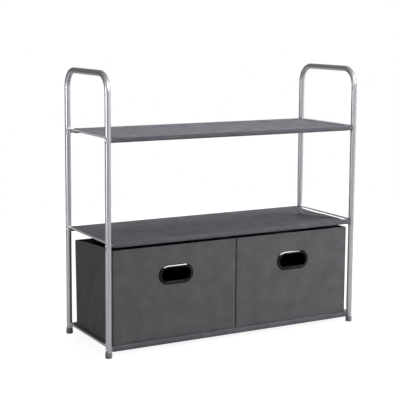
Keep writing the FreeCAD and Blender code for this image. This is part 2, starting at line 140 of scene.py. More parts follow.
class NodeBuilder:
    """Adds nodes to one tree. Each method returns the new node's output."""

    def __init__(self, tree: bpy.types.NodeTree) -> None:
        """Work on a tree."""
        self.tree = tree

    @classmethod
    def on(cls, owner: bpy.types.Material | bpy.types.World) -> "NodeBuilder":
        """Start an empty tree on a material or world."""
        owner.use_nodes = True
        owner.node_tree.nodes.clear()
        return cls(owner.node_tree)

    def add(self, kind: str, inputs: dict | None = None, result: str | int = 0,
            **settings: object) -> Socket:
        """Add a node.

        Args:
            kind: The node's type name.
            inputs: Values or output sockets, by input name or index.
            result: The output to return, by name or index.
            settings: Properties of the node.

        Returns:
            The output socket.
        """
        return add_node(self.tree, kind, settings, inputs).outputs[result]

    def split(self, vector: Socket) -> list[Socket]:
        """Split a vector into X, Y and Z."""
        return list(add_node(self.tree, "ShaderNodeSeparateXYZ", inputs={"Vector": vector}).outputs)

    def math(self, operation: str, *values: object) -> Socket:
        """Work out one operation on numbers or sockets."""
        return self.add("ShaderNodeMath", dict(enumerate(values)), operation=operation)

    def remap(self, value: object, given: tuple[object, object], wanted: tuple[object, object],
              smooth: bool = False) -> Socket:
        """Map a value from one range to another.

        Args:
            value: The value's socket.
            given: The range that it comes in.
            wanted: The range that it goes to.
            smooth: Whether it eases in and out.

        Returns:
            The mapped value.
        """
        return self.add("ShaderNodeMapRange", {
            "Value": value, "From Min": given[0], "From Max": given[1], "To Min": wanted[0],
            "To Max": wanted[1]}, interpolation_type="SMOOTHSTEP" if smooth else "LINEAR")

    def noise(self, place: Socket, scale: float, detail: float, roughness: float = 0.5) -> Socket:
        """Add noise with so many features to the metre."""
        return self.add("ShaderNodeTexNoise", {
            "Vector": place, "Scale": scale, "Detail": detail, "Roughness": roughness})

    def tone(self, share: Socket, colour: str, dark: float, light: float) -> Socket:
        """Mix a darker and a lighter shade of one colour.

        Args:
            share: How much of the lighter shade shows.
            colour: The sRGB colour.
            dark: How bright the darker shade is beside the colour.
            light: The same of the lighter shade.

        Returns:
            The mixed colour.
        """
        shades = [tuple(min(1.0, part * much) for part in linear(colour)[:3]) + (1.0,)
                  for much in (dark, light)]
        return self.add("ShaderNodeMix", {"Factor": share, "A": shades[0], "B": shades[1]},
                        "Result", data_type="RGBA")

    def bump(self, height: Socket, strength: float, distance: float) -> Socket:
        """Turn a height into a normal."""
        return self.add("ShaderNodeBump", {
            "Strength": strength, "Distance": distance, "Height": height})


# Finishes


@dataclass(frozen=True)
class Finish:
    """A surface finish that becomes one material.

    Attributes:
        name: The material's name: what it is and how it was made.
        colour: Its sRGB colour.
    """

    name: str
    colour: str

    def material(self) -> bpy.types.Material:
        """Return the finish's material, made on its first use."""
        made = bpy.data.materials.get(self.name)
        if made is None:
            made = bpy.data.materials.new(self.name)
            nodes = NodeBuilder.on(made)
            place = nodes.add("ShaderNodeTexCoord", result="Object")
            shader = nodes.add("ShaderNodeBsdfPrincipled", self.surface(nodes, place))
            add_node(nodes.tree, "ShaderNodeOutputMaterial", inputs={"Surface": shader})
        return made

    def surface(self, nodes: NodeBuilder, place: Socket) -> dict[str, object]:
        """Build the pattern nodes.

        Args:
            nodes: The material's tree.
            place: The place on the object.

        Returns:
            The surface shader's inputs.
        """
        raise NotImplementedError


@dataclass(frozen=True)
class PowderCoat(Finish):
    """Silver polyester powder, sprayed on steel tube and baked.

    The flakes give a satin metal look, and the melted powder leaves a faint orange peel.
    """

    peel: float = 1.6 * MM
    clouds_per_metre: float = 12.0
    roughness: float = 0.32
    metallic: float = 0.85

    def surface(self, nodes: NodeBuilder, place: Socket) -> dict[str, object]:
        """Speckle the flakes, cloud the gloss and raise the orange peel."""
        flakes = nodes.noise(place, 4 / self.peel, 1.0)
        peel = nodes.noise(place, 1 / self.peel, 2.0)
        cloud = nodes.noise(place, self.clouds_per_metre, 3.0)
        return {
            "Base Color": nodes.tone(flakes, self.colour, 0.88, 1.10), "Metallic": self.metallic,
            "Roughness": nodes.remap(cloud, (0, 1), (self.roughness - 0.05, self.roughness + 0.06)),
            "Normal": nodes.bump(peel, 0.06, 0.08 * MM)}


@dataclass(frozen=True)
class Nonwoven(Finish):
    """Spunbond polypropylene cloth, pressed between hot rollers.

    The rollers leave rows of small melted dots. The real pitch is about 1 mm. It is drawn three
    times as coarse, because it would not show in a picture of the whole object.
    """

    dot_pitch: float = 3.0 * MM
    dot_depth: float = 0.10 * MM
    fibre: float = 0.9 * MM
    blotch: float = 45 * MM
    contrast: float = 0.2
    roughness: float = 0.78
    sheen: float = 0.05

    def surface(self, nodes: NodeBuilder, place: Socket) -> dict[str, object]:
        """Press the dots in rows along the cloth and mottle it with fibres and blotches."""
        cloth = nodes.split(nodes.add("ShaderNodeUVMap", result="UV", uv_map="cloth"))
        waves = [nodes.math("COSINE", nodes.math("MULTIPLY", along, math.tau / self.dot_pitch))
                 for along in cloth[:2]]
        pressed = nodes.remap(nodes.math("MULTIPLY", *waves), (0.25, 0.85), (0, 1), smooth=True)
        sink = nodes.remap(pressed, (0, 1), (1.0, 0.72))
        fibres = nodes.noise(place, 1 / self.fibre, 3.0, 0.65)
        blotches = nodes.noise(place, 1 / self.blotch, 4.0, 0.55)
        mottle = nodes.math("MULTIPLY_ADD", fibres, 0.45, blotches)
        shade = nodes.remap(mottle, (0.45, 1.0), (0, 1))
        dotted = nodes.add("ShaderNodeMix", {
            "Factor": 0.35, "B": sink,
            "A": nodes.tone(shade, self.colour, 1 - self.contrast, 1 + self.contrast)},
            "Result", data_type="RGBA", blend_type="MULTIPLY")
        height = nodes.math("MULTIPLY_ADD", fibres, 0.5, sink)
        return {
            "Base Color": dotted, "Roughness": self.roughness, "Sheen Weight": self.sheen,
            "Sheen Roughness": 0.45, "IOR": 1.45, "Specular IOR Level": 0.20,
            "Normal": nodes.bump(height, 0.7, self.dot_depth)}


@dataclass(frozen=True)
class Moulded(Finish):
    """Thermoplastic from an injection mould, with the mould's fine grain."""

    grain: float = 0.8 * MM
    grain_depth: float = 0.03 * MM
    wear_per_metre: float = 90.0
    roughness: float = 0.45
    gloss: float = 0.5

    def surface(self, nodes: NodeBuilder, place: Socket) -> dict[str, object]:
        """Raise the mould's grain and wear the gloss unevenly."""
        grain = nodes.noise(place, 1 / self.grain, 2.0)
        wear = nodes.noise(place, self.wear_per_metre, 5.0, 0.6)
        return {
            "Base Color": nodes.tone(wear, self.colour, 0.9, 1.12),
            "Roughness": nodes.remap(wear, (0, 1), (self.roughness * 0.8, self.roughness * 1.2)),
            "IOR": 1.5, "Specular IOR Level": self.gloss,
            "Normal": nodes.bump(grain, 0.4, self.grain_depth)}


@dataclass(frozen=True)
class PlatedSteel(Finish):
    """Cold-headed steel with bright zinc, slightly clouded by the bath."""

    clouds_per_metre: float = 900.0
    roughness: float = 0.24

    def surface(self, nodes: NodeBuilder, place: Socket) -> dict[str, object]:
        """Cloud the zinc's tone and gloss together."""
        cloud = nodes.noise(place, self.clouds_per_metre, 3.0)
        return {
            "Base Color": nodes.tone(cloud, self.colour, 0.85, 1.0), "Metallic": 1.0,
            "Roughness": nodes.remap(cloud, (0, 1), (self.roughness - 0.06, self.roughness + 0.1))}


@dataclass(frozen=True)
class Greyboard(Finish):
    """Board rolled from waste paper, with specks and short fibres."""

    fleck: float = 1.5 * MM

    def surface(self, nodes: NodeBuilder, place: Socket) -> dict[str, object]:
        """Scatter flecks and raise the fibres."""
        flecks = nodes.add("ShaderNodeTexVoronoi", {
            "Vector": place, "Scale": 1 / self.fleck, "Randomness": 1.0}, "Distance")
        fibres = nodes.noise(place, 2 / self.fleck, 4.0)
        mottle = nodes.math("MULTIPLY", flecks, fibres)
        return {
            "Base Color": nodes.tone(mottle, self.colour, 0.8, 1.3), "Roughness": 0.9,
            "Normal": nodes.bump(fibres, 0.4, 0.1 * MM)}


FRAME_PAINT = PowderCoat("steel_tube_silver_powder_coat", "#C6C8CC")
# Painted light: the rods wear the tubes' silver powder coat, and this lighter, less metallic copy
# paints in the light on their tops.
LIT_COPY_OF_FRAME_PAINT = PowderCoat("steel_rod_light_silver_powder_coat", "#E2E3E6", metallic=0.3)
SHELF_CLOTH = Nonwoven("shelf_spunbond_charcoal", "#65636A")
BIN_CLOTH = Nonwoven("bin_spunbond_charcoal", "#616164")
LINING_CLOTH = Nonwoven("bin_lining_spunbond_black", "#2E2E31")
THREAD = Nonwoven("polyester_thread_charcoal", "#3E3E43", fibre=0.3 * MM, roughness=0.6)
HANDLE_PLASTIC = Moulded("handle_abs_gloss_black", "#060607", roughness=0.08,
                         grain_depth=0.004 * MM, gloss=0.26)
PLUG_PLASTIC = Moulded("plug_nylon_mid_grey", "#6E6F73", roughness=0.35)
FOOT_PLASTIC = Moulded("foot_polyethylene_grey", "#8C8B90", roughness=0.5)
SCREW_STEEL = PlatedSteel("screw_bright_zinc", "#DADBDA")
BOARD = Greyboard("wall_greyboard", "#8C8378")


# Meshes


class MeshBuilder:
    """Collects patches of points into one closed mesh with a UV map in metres."""

    def __init__(self) -> None:
        """Start empty."""
        self.points: list[np.ndarray] = []
        self.faces: list[list[int]] = []
        self.corners: list[np.ndarray] = []
        self.count = 0

    def grid(self, points: np.ndarray) -> "MeshBuilder":
        """Add a patch of four-sided faces, laid out as cloth by its own lengths.

        Args:
            points: Rows of points, of shape (rows, columns, 3).

        Returns:
            This builder.
        """
        rows, columns = points.shape[:2]
        along = np.linalg.norm(np.diff(points[rows // 2], axis=0), axis=1)
        down = np.linalg.norm(np.diff(points[:, columns // 2], axis=0), axis=1)
        uv = np.stack(np.meshgrid(np.concatenate([[0.0], np.cumsum(along)]),
                                  np.concatenate([[0.0], np.cumsum(down)])), -1)
        index = self.count + np.arange(rows * columns).reshape(rows, columns)
        quads = np.stack([index[:-1, :-1], index[:-1, 1:], index[1:, 1:], index[1:, :-1]], -1)
        corners = np.stack([uv[:-1, :-1], uv[:-1, 1:], uv[1:, 1:], uv[1:, :-1]], 2)
        self.points.append(points.reshape(-1, 3))
        self.faces.extend(quads.reshape(-1, 4).tolist())
        self.corners.append(corners.reshape(-1, 2))
        self.count += rows * columns
        return self

    def cap(self, *rings: np.ndarray) -> "MeshBuilder":
        """Close rings of points with one flat face each.

        Args:
            rings: Each ring, of shape (count, 3), whose last point repeats the first.

        Returns:
            This builder.
        """
        for ring in rings:
            points = ring[:-1]
            self.points.append(points)
            self.faces.append((self.count + np.arange(len(points))).tolist())
            self.corners.append(points[:, :2])
            self.count += len(points)
        return self

    def tube(self, path: np.ndarray, radius: float, sides: int) -> None:
        """Add a round tube with closed ends along a path.

        Args:
            path: The centre line, of shape (count, 3).
            radius: The tube's radius.
            sides: The number of sides.
        """
        tangents = np.gradient(path, axis=0)
        tangents /= np.linalg.norm(tangents, axis=1)[:, None]
        normal = np.cross(tangents[0], [0.31, 0.52, 0.79])
        angles = np.linspace(0, math.tau, sides + 1)[:, None]
        rings = []
        for spot, tangent in zip(path, tangents):
            normal = normal - tangent * (normal @ tangent)
            normal /= np.linalg.norm(normal)
            across = np.cross(tangent, normal)
            rings.append(spot + radius * (np.cos(angles) * normal + np.sin(angles) * across))
        self.grid(np.array(rings)).cap(rings[0], rings[-1])

    def piece(self, name: str, finish: Finish, mirrored: bool = False) -> bpy.types.Object:
        """Join the patches into one object at the origin.

        Args:
            name: The piece's name.
            finish: Its finish.
            mirrored: Whether X changes sign.

        Returns:
            The new object.
        """
        points = np.concatenate(self.points)
        if mirrored:
            points = points * MIRROR
        mesh = bpy.data.meshes.new(name)
        mesh.from_pydata(points.tolist(), [], self.faces)
        layer = mesh.uv_layers.new(name="cloth")
        layer.data.foreach_set("uv", np.concatenate(self.corners).astype(np.float32).ravel())
        tidy(mesh)
        return show(name, mesh, finish)


def tidy(mesh: bpy.types.Mesh, sharp: float = SHARP_EDGE) -> None:
    """Merge doubled points, turn the faces outwards and shade them smooth.

    Args:
        mesh: The mesh to finish.
        sharp: The angle in degrees past which an edge is shaded as one.
    """
    work = bmesh.new()
    work.from_mesh(mesh)
    bmesh.ops.remove_doubles(work, verts=work.verts, dist=0.002 * MM)
    bmesh.ops.dissolve_degenerate(work, dist=0.001 * MM, edges=work.edges)
    bmesh.ops.recalc_face_normals(work, faces=work.faces)
    work.to_mesh(mesh)
    work.free()
    mesh.polygons.foreach_set("use_smooth", [True] * len(mesh.polygons))
    mesh.set_sharp_from_angle(angle=math.radians(sharp))
    mesh.update()


def show(name: str, mesh: bpy.types.Mesh, finish: Finish) -> bpy.types.Object:
    """Put a mesh with one finish into the scene as a piece."""
    mesh.materials.clear()
    mesh.materials.append(finish.material())
    return in_scene(name, mesh)


def baked(source: bpy.types.Object, name: str, finish: Finish) -> bpy.types.Object:
    """Turn an object with live modifiers into a plain piece and remove the source.

    Args:
        source: The object whose modifiers make the shape.
        name: The new piece's name.
        finish: Its finish.

    Returns:
        The plain piece.
    """
    bpy.context.view_layer.update()
    evaluated = source.evaluated_get(bpy.context.evaluated_depsgraph_get())
    mesh = bpy.data.meshes.new_from_object(evaluated)
    bpy.data.objects.remove(source)
    mesh.name = name
    return show(name, mesh, finish)


def dress(node: bpy.types.Object, finish: Finish) -> None:
    """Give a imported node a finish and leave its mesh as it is."""
    if not node.material_slots:
        node.data.materials.append(None)
    for holder in node.material_slots:
        holder.material = finish.material()


def place(piece: bpy.types.Object, body: str, slot: str, *nodes: str) -> bpy.types.Object:
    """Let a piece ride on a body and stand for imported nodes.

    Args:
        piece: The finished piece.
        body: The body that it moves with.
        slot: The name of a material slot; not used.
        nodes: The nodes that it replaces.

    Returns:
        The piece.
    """
    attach(piece, body)
    if nodes:
        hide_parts(*nodes)
    LOG.info("built %s on %s: %d faces", piece.name, body, len(piece.data.polygons))
    return piece


def turned(profile: list[tuple[float, float]], sides: int) -> np.ndarray:
    """Turn a profile round the Z axis.

    Args:
        profile: Pairs of radius and height.
        sides: The number of sides.

    Returns:
        The points, with one row for each pair.
    """
    angles = np.linspace(0, math.tau, sides + 1)
    radius, height = (column[:, None] for column in np.array(profile, float).T)
    return np.stack([radius * np.cos(angles), radius * np.sin(angles), height + 0 * angles], -1)


def softened(before: tuple[float, float], corner: tuple[float, float],
             after: tuple[float, float], reach: float) -> list[tuple[float, float]]:
    """Round one corner of a section.

    Args:
        before: The corner before it.
        corner: The corner.
        after: The corner after it.
        reach: How far the round stretch runs along both sides.

    Returns:
        Four points in the corner's place.
    """
    a, b, c = (np.array(p) for p in (before, corner, after))
    start = b + (a - b) * min(0.45, reach / np.linalg.norm(a - b))
    end = b + (c - b) * min(0.45, reach / np.linalg.norm(c - b))
    return [tuple((1 - t) ** 2 * start + 2 * t * (1 - t) * b + t * t * end)
            for t in (0.0, 1 / 3, 2 / 3, 1.0)]


# Geometry node trees


class Recipe(NodeBuilder):
    """A geometry node tree with named inputs, applied to an object as a modifier."""

    KINDS = {
        float: "NodeSocketFloat", int: "NodeSocketInt",
        bpy.types.Material: "NodeSocketMaterial", bpy.types.Object: "NodeSocketObject"}

    def __init__(self, name: str, inputs: dict[str, type]) -> None:
        """Make the tree with its sockets.

        Args:
            name: The tree's name.
            inputs: The type of each named input besides the geometry and the finish.
        """
        super().__init__(bpy.data.node_groups.new(name, "GeometryNodeTree"))
        sockets = self.tree.interface
        sockets.new_socket("Geometry", in_out="INPUT", socket_type="NodeSocketGeometry")
        for label, kind in (inputs | {"Finish": bpy.types.Material}).items():
            sockets.new_socket(label, in_out="INPUT", socket_type=self.KINDS[kind])
        sockets.new_socket("Geometry", in_out="OUTPUT", socket_type="NodeSocketGeometry")
        self.given = add_node(self.tree, "NodeGroupInput").outputs

    def finish(self, geometry: Socket) -> None:
        """End the tree with real geometry and its material."""
        real = self.add("GeometryNodeRealizeInstances", {"Geometry": geometry})
        smooth = self.add("GeometryNodeSetShadeSmooth", {"Geometry": real})
        dressed = self.add("GeometryNodeSetMaterial", {
            "Geometry": smooth, "Material": self.given["Finish"]})
        add_node(self.tree, "NodeGroupOutput", inputs={"Geometry": dressed})

    def apply(self, source: bpy.types.Object, name: str, finish: Finish,
              **values: object) -> bpy.types.Object:
        """Run the tree on an object and return the result as a plain piece.

        Args:
            source: The object with the starting mesh, which is removed.
            name: The new piece's name.
            finish: Its finish.
            values: The inputs' values, with underscores for spaces.

        Returns:
            The plain piece.
        """
        wanted = {key.replace("_", " "): value for key, value in values.items()}
        wanted["Finish"] = finish.material()
        modifier = source.modifiers.new("recipe", "NODES")
        modifier.node_group = self.tree
        for item in self.tree.interface.items_tree:
            if item.in_out == "INPUT" and item.name in wanted:
                modifier[item.identifier] = wanted.pop(item.name)
        if wanted:
            raise ValueError(f"{name}: no inputs named {sorted(wanted)}")
        return baked(source, name, finish)


def line_source(paths: list[np.ndarray]) -> bpy.types.Object:
    """Make an object of open lines for a recipe to follow.

    Args:
        paths: The lines, each of shape (count, 3).

    Returns:
        The object.
    """
    edges: list[tuple[int, int]] = []
    start = 0
    for path in paths:
        edges.extend((start + step, start + step + 1) for step in range(len(path) - 1))
        start += len(path)
    mesh = bpy.data.meshes.new("lines")
    mesh.from_pydata(np.concatenate(paths).tolist(), edges, [])
    return in_scene("lines", mesh)


def spot_source(spots: list[tuple[float, float, float]],
                facings: list[tuple[float, float, float]]) -> bpy.types.Object:
    """Make an object of loose points, each of which faces its own way."""
    mesh = bpy.data.meshes.new("spots")
    mesh.from_pydata(spots, [], [])
    facing = mesh.attributes.new("facing", "FLOAT_VECTOR", "POINT")
    facing.data.foreach_set("vector", np.array(facings, float).ravel())
    return in_scene("spots", mesh)


def stitching_recipe() -> Recipe:
    """Build the tree that sews a running stitch along lines."""
    recipe = Recipe("running_stitch", {
        "Pitch": float, "Stitch Length": float, "Thread": float, "Seed": int})
    given = recipe.given
    line = recipe.add("GeometryNodeMeshToCurve", {"Mesh": given["Geometry"]})
    points = add_node(recipe.tree, "GeometryNodeCurveToPoints", {"mode": "LENGTH"}, {
        "Curve": line, "Length": given["Pitch"]}).outputs
    ball = recipe.add("GeometryNodeMeshUVSphere", {"Segments": 6, "Rings": 4, "Radius": 0.5})
    size = recipe.add("ShaderNodeCombineXYZ", {
        "X": given["Thread"], "Y": given["Thread"], "Z": given["Stitch Length"]})
    stitch = recipe.add("GeometryNodeTransform", {"Geometry": ball, "Scale": size})
    uneven = recipe.add("FunctionNodeRandomValue", {2: 0.9, 3: 1.08, "Seed": given["Seed"]}, 1,
                        data_type="FLOAT")
    recipe.finish(recipe.add("GeometryNodeInstanceOnPoints", {
        "Points": points["Points"], "Instance": stitch, "Rotation": points["Rotation"],
        "Scale": uneven}))
    return recipe


def fitting_recipe() -> Recipe:
    """Build the tree that sets one template out on points that face somewhere."""
    recipe = Recipe("set_out_fittings", {
        "Template": bpy.types.Object, "Spin": float, "Seed": int})
    given = recipe.given
    facing = recipe.add("GeometryNodeInputNamedAttribute", {"Name": "facing"},
                        data_type="FLOAT_VECTOR")
    turn = recipe.add("FunctionNodeAlignRotationToVector", {"Vector": facing}, axis="Z")
    angle = recipe.add("FunctionNodeRandomValue", {
        2: 0.0, 3: given["Spin"], "Seed": given["Seed"]}, 1, data_type="FLOAT")
    spin = recipe.add("FunctionNodeAxisAngleToRotation", {
        "Axis": (0.0, 0.0, 1.0), "Angle": angle})
    rotation = recipe.add("FunctionNodeRotateRotation", {"Rotation": turn, "Rotate By": spin},
                          rotation_space="LOCAL")
    template = recipe.add("GeometryNodeObjectInfo", {"Object": given["Template"]}, "Geometry")
    recipe.finish(recipe.add("GeometryNodeInstanceOnPoints", {
        "Points": given["Geometry"], "Instance": template, "Rotation": rotation}))
    return recipe


def pressed_tube_recipe() -> Recipe:
    """Build the tree that sweeps a tube along a line and presses it flat at three heights."""
    lengths = ["Radius", "Axis X", "Leg Y", "Flat Distance", "Flat Half Height", "Shoulder",
               "Swell", *(tier.joint for tier in Tier)]
    recipe = Recipe("pressed_tube", {"Sides": int} | dict.fromkeys(lengths, float))
    given = recipe.given
    line = recipe.add("GeometryNodeMeshToCurve", {"Mesh": given["Geometry"]})
    section = recipe.add("GeometryNodeCurvePrimitiveCircle", {
        "Resolution": given["Sides"], "Radius": given["Radius"]})
    tube = recipe.add("GeometryNodeCurveToMesh", {
        "Curve": line, "Profile Curve": section, "Fill Caps": True})
    x, y, z = recipe.split(recipe.add("GeometryNodeInputPosition"))
    first, second, third = (
        recipe.math("ABSOLUTE", recipe.math("SUBTRACT", z, given[tier.joint])) for tier in Tier)
    gap = recipe.math("MINIMUM", recipe.math("MINIMUM", first, second), third)
    far = recipe.math("ADD", given["Flat Half Height"], given["Shoulder"])
    limit = recipe.remap(gap, (given["Flat Half Height"], far),
                         (given["Flat Distance"], given["Radius"]), smooth=True)
    pressed = recipe.add("ShaderNodeClamp", {
        "Value": recipe.math("SUBTRACT", x, given["Axis X"]),
        "Min": recipe.math("MULTIPLY", limit, -1.0), "Max": limit})
    depth = recipe.math("SUBTRACT", given["Radius"], limit)
    bulge = recipe.math("MULTIPLY_ADD", depth, given["Swell"], 1.0)
    axis_y = recipe.math("MULTIPLY", recipe.math("SIGN", y), given["Leg Y"])
    moved = recipe.add("ShaderNodeCombineXYZ", {
        "X": recipe.math("ADD", given["Axis X"], pressed), "Z": z,
        "Y": recipe.math("MULTIPLY_ADD", recipe.math("SUBTRACT", y, axis_y), bulge, axis_y)})
    recipe.finish(recipe.add("GeometryNodeSetPosition", {"Geometry": tube, "Position": moved}))
    return recipe


# The frame


@dataclass(frozen=True)
class FrameSizes:
    """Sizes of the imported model's frame that the pieces are built round."""

    leg_x: float
    leg_y: float
    leg_radius: float
    leg_base: float
    top: float
    tiers: dict[Tier, float]
    tube_radius: float
    flat: float
    rod_radius: float
    rod_rise: float
    cloth_radius: float

    @classmethod
    def read(cls) -> "FrameSizes":
        """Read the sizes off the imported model's nodes."""
        low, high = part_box("right_end_tube")
        rod_low, rod_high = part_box("right_top_rod")
        tubes = {tier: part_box(f"{tier.value}_front_tube") for tier in Tier}
        tiers = {tier: (bottom.z + top.z) / 2 for tier, (bottom, top) in tubes.items()}
        tube_low, tube_high = tubes[Tier.BOTTOM]
        radius, leg_x = (high.x - low.x) / 2, (low.x + high.x) / 2
        return cls(
            leg_x=leg_x, leg_y=high.y - radius, leg_radius=radius, leg_base=low.z, top=high.z,
            tiers=tiers, tube_radius=(tube_high.z - tube_low.z) / 2,
            flat=leg_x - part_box("tube_end_plugs")[1].x,
            rod_radius=(rod_high.z - rod_low.z) / 2,
            rod_rise=(rod_low.z + rod_high.z) / 2 - tiers[Tier.TOP],
            cloth_radius=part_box("top_shelf")[1].y - (high.y - radius))


@dataclass
class TubeFrame:
    """The two bent end tubes, their fittings, and the finish of the plain rods and tubes."""

    sizes: FrameSizes
    bend_radius: float = 48 * MM
    bend_steps: int = 14
    tube_sides: int = 36
    flat_half_height: float = 5.0 * MM
    shoulder: float = 8.0 * MM
    swell_per_metre: float = 28.0
    screw_head: float = 4.4 * MM
    screw_rise: float = 2.6 * MM
    screw_edge: float = 0.5 * MM
    screw_shank: float = 2.4 * MM
    screw_length: float = 27.6 * MM
    recess_arm: float = 2.1 * MM
    recess_half_width: float = 0.55 * MM
    recess_depth: float = 1.3 * MM
    dome_fall: float = 0.92
    collar_length: float = 3.0 * MM
    plug_length: float = 18.0 * MM
    tube_bore: float = 4.4 * MM
    bead: float = 1.3 * MM
    ribs: int = 24
    rib_depth: float = 0.026
    fittings: Recipe = field(default_factory=fitting_recipe)

    def build(self) -> None:
        """Build the frame's pieces and dress its plain nodes."""
        recipe = pressed_tube_recipe()
        for side in Side:
            self.end_tube(side, recipe)
            for row in Row:
                self.foot(side, row)
        self.screws()
        self.plugs()
        self.weld_beads()
        for name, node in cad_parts.items():
            if name.endswith("_rod"):
                # Painted light: the rods take the lighter copy of the powder coat.
                dress(node, LIT_COPY_OF_FRAME_PAINT)
            elif name.endswith(("_front_tube", "_rear_tube")):
                dress(node, FRAME_PAINT)

    def end_path(self, side: Side) -> np.ndarray:
        """Lay out one end tube's centre line, from the front foot over the top to the rear foot."""
        s = self.sizes
        bend_z = s.top - s.leg_radius - self.bend_radius
        run_y = s.leg_y - self.bend_radius
        reach = self.flat_half_height + self.shoulder
        heights = [s.leg_base, bend_z]
        for tier in s.tiers.values():
            heights.extend(tier + offset for offset in np.linspace(-reach, reach, 15))
        half = [(s.leg_y, z) for z in sorted(heights) if s.leg_base <= z <= bend_z]
        half += [(run_y + self.bend_radius * math.cos(a), bend_z + self.bend_radius * math.sin(a))
                 for a in np.linspace(0, math.pi / 2, self.bend_steps + 1)[1:]]
        points = [(-y, z) for y, z in half] + half[::-1]
        return np.array([(side.value * s.leg_x, y, z) for y, z in points])

    def end_tube(self, side: Side, recipe: Recipe) -> None:
        """Bend one end tube and press its six joints flat."""
        s = self.sizes
        name = side.name.lower() + "_end_tube"
        piece = recipe.apply(
            line_source([self.end_path(side)]), name + "_bent", FRAME_PAINT,
            Radius=s.leg_radius, Sides=self.tube_sides, Axis_X=side.value * s.leg_x,
            Leg_Y=s.leg_y, Flat_Distance=s.flat, Flat_Half_Height=self.flat_half_height,
            Shoulder=self.shoulder, Swell=self.swell_per_metre,
            **{tier.joint: height for tier, height in s.tiers.items()})
        tidy(piece.data, 50.0)
        place(piece, "frame", "frame_paint", name)

    def set_out(self, template: MeshBuilder, name: str, finish: Finish, slot: str, *nodes: str,
                offset: tuple[float, float, float], facing: tuple[int, int],
                spin: float = math.pi, seed: int = 7, sharp: float = SHARP_EDGE) -> None:
        """Set a template out at the twelve places where a cross tube meets a leg.

        Args:
            template: The piece's patches, drawn on the Z axis.
            name: The new piece's name.
            finish: Its finish.
            slot: The name of a material slot, passed on to place.
            nodes: The nodes that it replaces.
            offset: Its place at the rear right leg, from where the two axes meet.
            facing: The way its Z axis points there, along X and Y.
            spin: The range of its turn about its axis.
            seed: The seed of that turn.
            sharp: The angle in degrees past which an edge is shaded as one.
        """
        s = self.sizes
        joints = [(side.value, row.value, z)
                  for z in s.tiers.values() for side in Side for row in Row]
        spots = [(x * (s.leg_x + offset[0]), y * (s.leg_y + offset[1]), z + offset[2])
                 for x, y, z in joints]
        facings = [(x * facing[0], y * facing[1], 0) for x, y, _ in joints]
        drawn = template.piece("template", finish)
        piece = self.fittings.apply(spot_source(spots, facings), name, finish, Template=drawn,
                                    Spin=spin, Seed=seed)
        bpy.data.objects.remove(drawn)
        tidy(piece.data, sharp)
        place(piece, "frame", slot, *nodes)

    def screws(self) -> None:
        """Make the domed screws with their cross recesses."""
        sides, rings = 40, 12
        dome = self.screw_rise - self.screw_edge
        head = turned([(self.screw_head * share,
                        self.screw_edge + dome * math.sqrt(1 - self.dome_fall * share ** 2))
                       for share in np.linspace(0.0, 1.0, rings + 1)], sides)
        x, y = np.abs(head[..., 0]), np.abs(head[..., 1])
        cross = np.minimum(
            np.maximum(x - self.recess_half_width, y - self.recess_arm),
            np.maximum(y - self.recess_half_width, x - self.recess_arm))
        head[..., 2] -= self.recess_depth * (1 - smooth_step(cross, -0.15 * MM, 0.3 * MM))
        shank = turned([
            (self.screw_head, head[-1, 0, 2]), (self.screw_head, 0.0), (self.screw_shank, 0.0),
            (self.screw_shank, 3 * MM - self.screw_length), (0.0, -self.screw_length)], sides)
        self.set_out(MeshBuilder().grid(head).grid(shank), "frame_screws_zinc", SCREW_STEEL,
                     "screw_steel", "frame_screws", offset=(self.sizes.flat, 0.0, 0.0),
                     facing=(1, 0))

    def plugs(self) -> None:
        """Make the plugs with round collars that close the cross tubes."""
        r, bore, edge, bevel = self.sizes.tube_radius, self.tube_bore, 0.6 * MM, 0.18 * MM
        collar, end = self.collar_length, self.collar_length + self.plug_length
        plug = turned([
            (0.0, 0.0), (r - edge, 0.0), (r - bevel, bevel), (r, edge), (r, collar - edge / 2),
            (r - edge / 2, collar), (bore, collar), (bore, end - 2 * MM), (bore - 1 * MM, end),
            (0.0, end)], 32)
        self.set_out(MeshBuilder().grid(plug), "tube_end_plugs_round", PLUG_PLASTIC,
                     "plug_plastic", "tube_end_plugs", offset=(-self.sizes.flat, 0.0, 0.0),
                     facing=(-1, 0), spin=0.0)

    def weld_beads(self) -> None:
        """Make the rippled beads where the side rods meet the legs."""
        s = self.sizes
        around = np.linspace(0, math.tau, 29)[None, :]
        section = np.linspace(0, math.tau, 9)[:, None]
        ripple = 1 + 0.10 * np.sin(9 * around) + 0.05 * np.sin(4 * around + 1.0)
        radius = s.rod_radius + self.bead * (0.4 + ripple * np.cos(section))
        bead = np.stack([radius * np.cos(around), radius * np.sin(around),
                         0.9 * self.bead * ripple * np.sin(section)], -1)
        self.set_out(MeshBuilder().grid(bead), "side_rod_welds", FRAME_PAINT, "frame_paint",
                     offset=(0.0, -s.leg_radius - 0.1 * self.bead, s.rod_rise), facing=(0, 1),
                     seed=11, sharp=60.0)

    def foot(self, side: Side, row: Row) -> None:
        """Mould one foot with a flared base, fine upright ribs and a collar."""
        node = f"foot_{row.name.lower()}_{side.name.lower()}"
        low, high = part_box(node)
        height, bore = high.z / MM, self.sizes.leg_radius / MM - 0.05
        base, top, sole = 9.5, 9.1, 3.0
        flare = [(0, 0), (base - 1.2, 0), (base - 0.3, 0.4), (base, 1.2), (base, 2.4),
                 (base - 0.3, 2.9)]
        ribbed = [(base - 0.2, 3.4), (base - 0.25, 6.0), (base - 0.35, 9.0), (top, 11.6)]
        collar = [(top - 0.15, 12.1), (top, 12.7), (top, height - 1.0),
                  (top - 0.3, height - 0.3), (top - 0.8, height), (bore, height),
                  (bore, height - sole), (0, height - sole)]
        points = turned([(r * MM, z * MM) for r, z in flare + ribbed + collar], 4 * self.ribs)
        wave = 1 + self.rib_depth * np.cos(self.ribs * np.linspace(0, math.tau, 4 * self.ribs + 1))
        points[len(flare):len(flare + ribbed), :, :2] *= wave[None, :, None]
        points[..., :2] += np.array((low + high) / 2)[:2]
        piece = MeshBuilder().grid(points).piece(node + "_ribbed", FOOT_PLASTIC)
        place(piece, "frame", "foot_plastic", node)


# Shelves


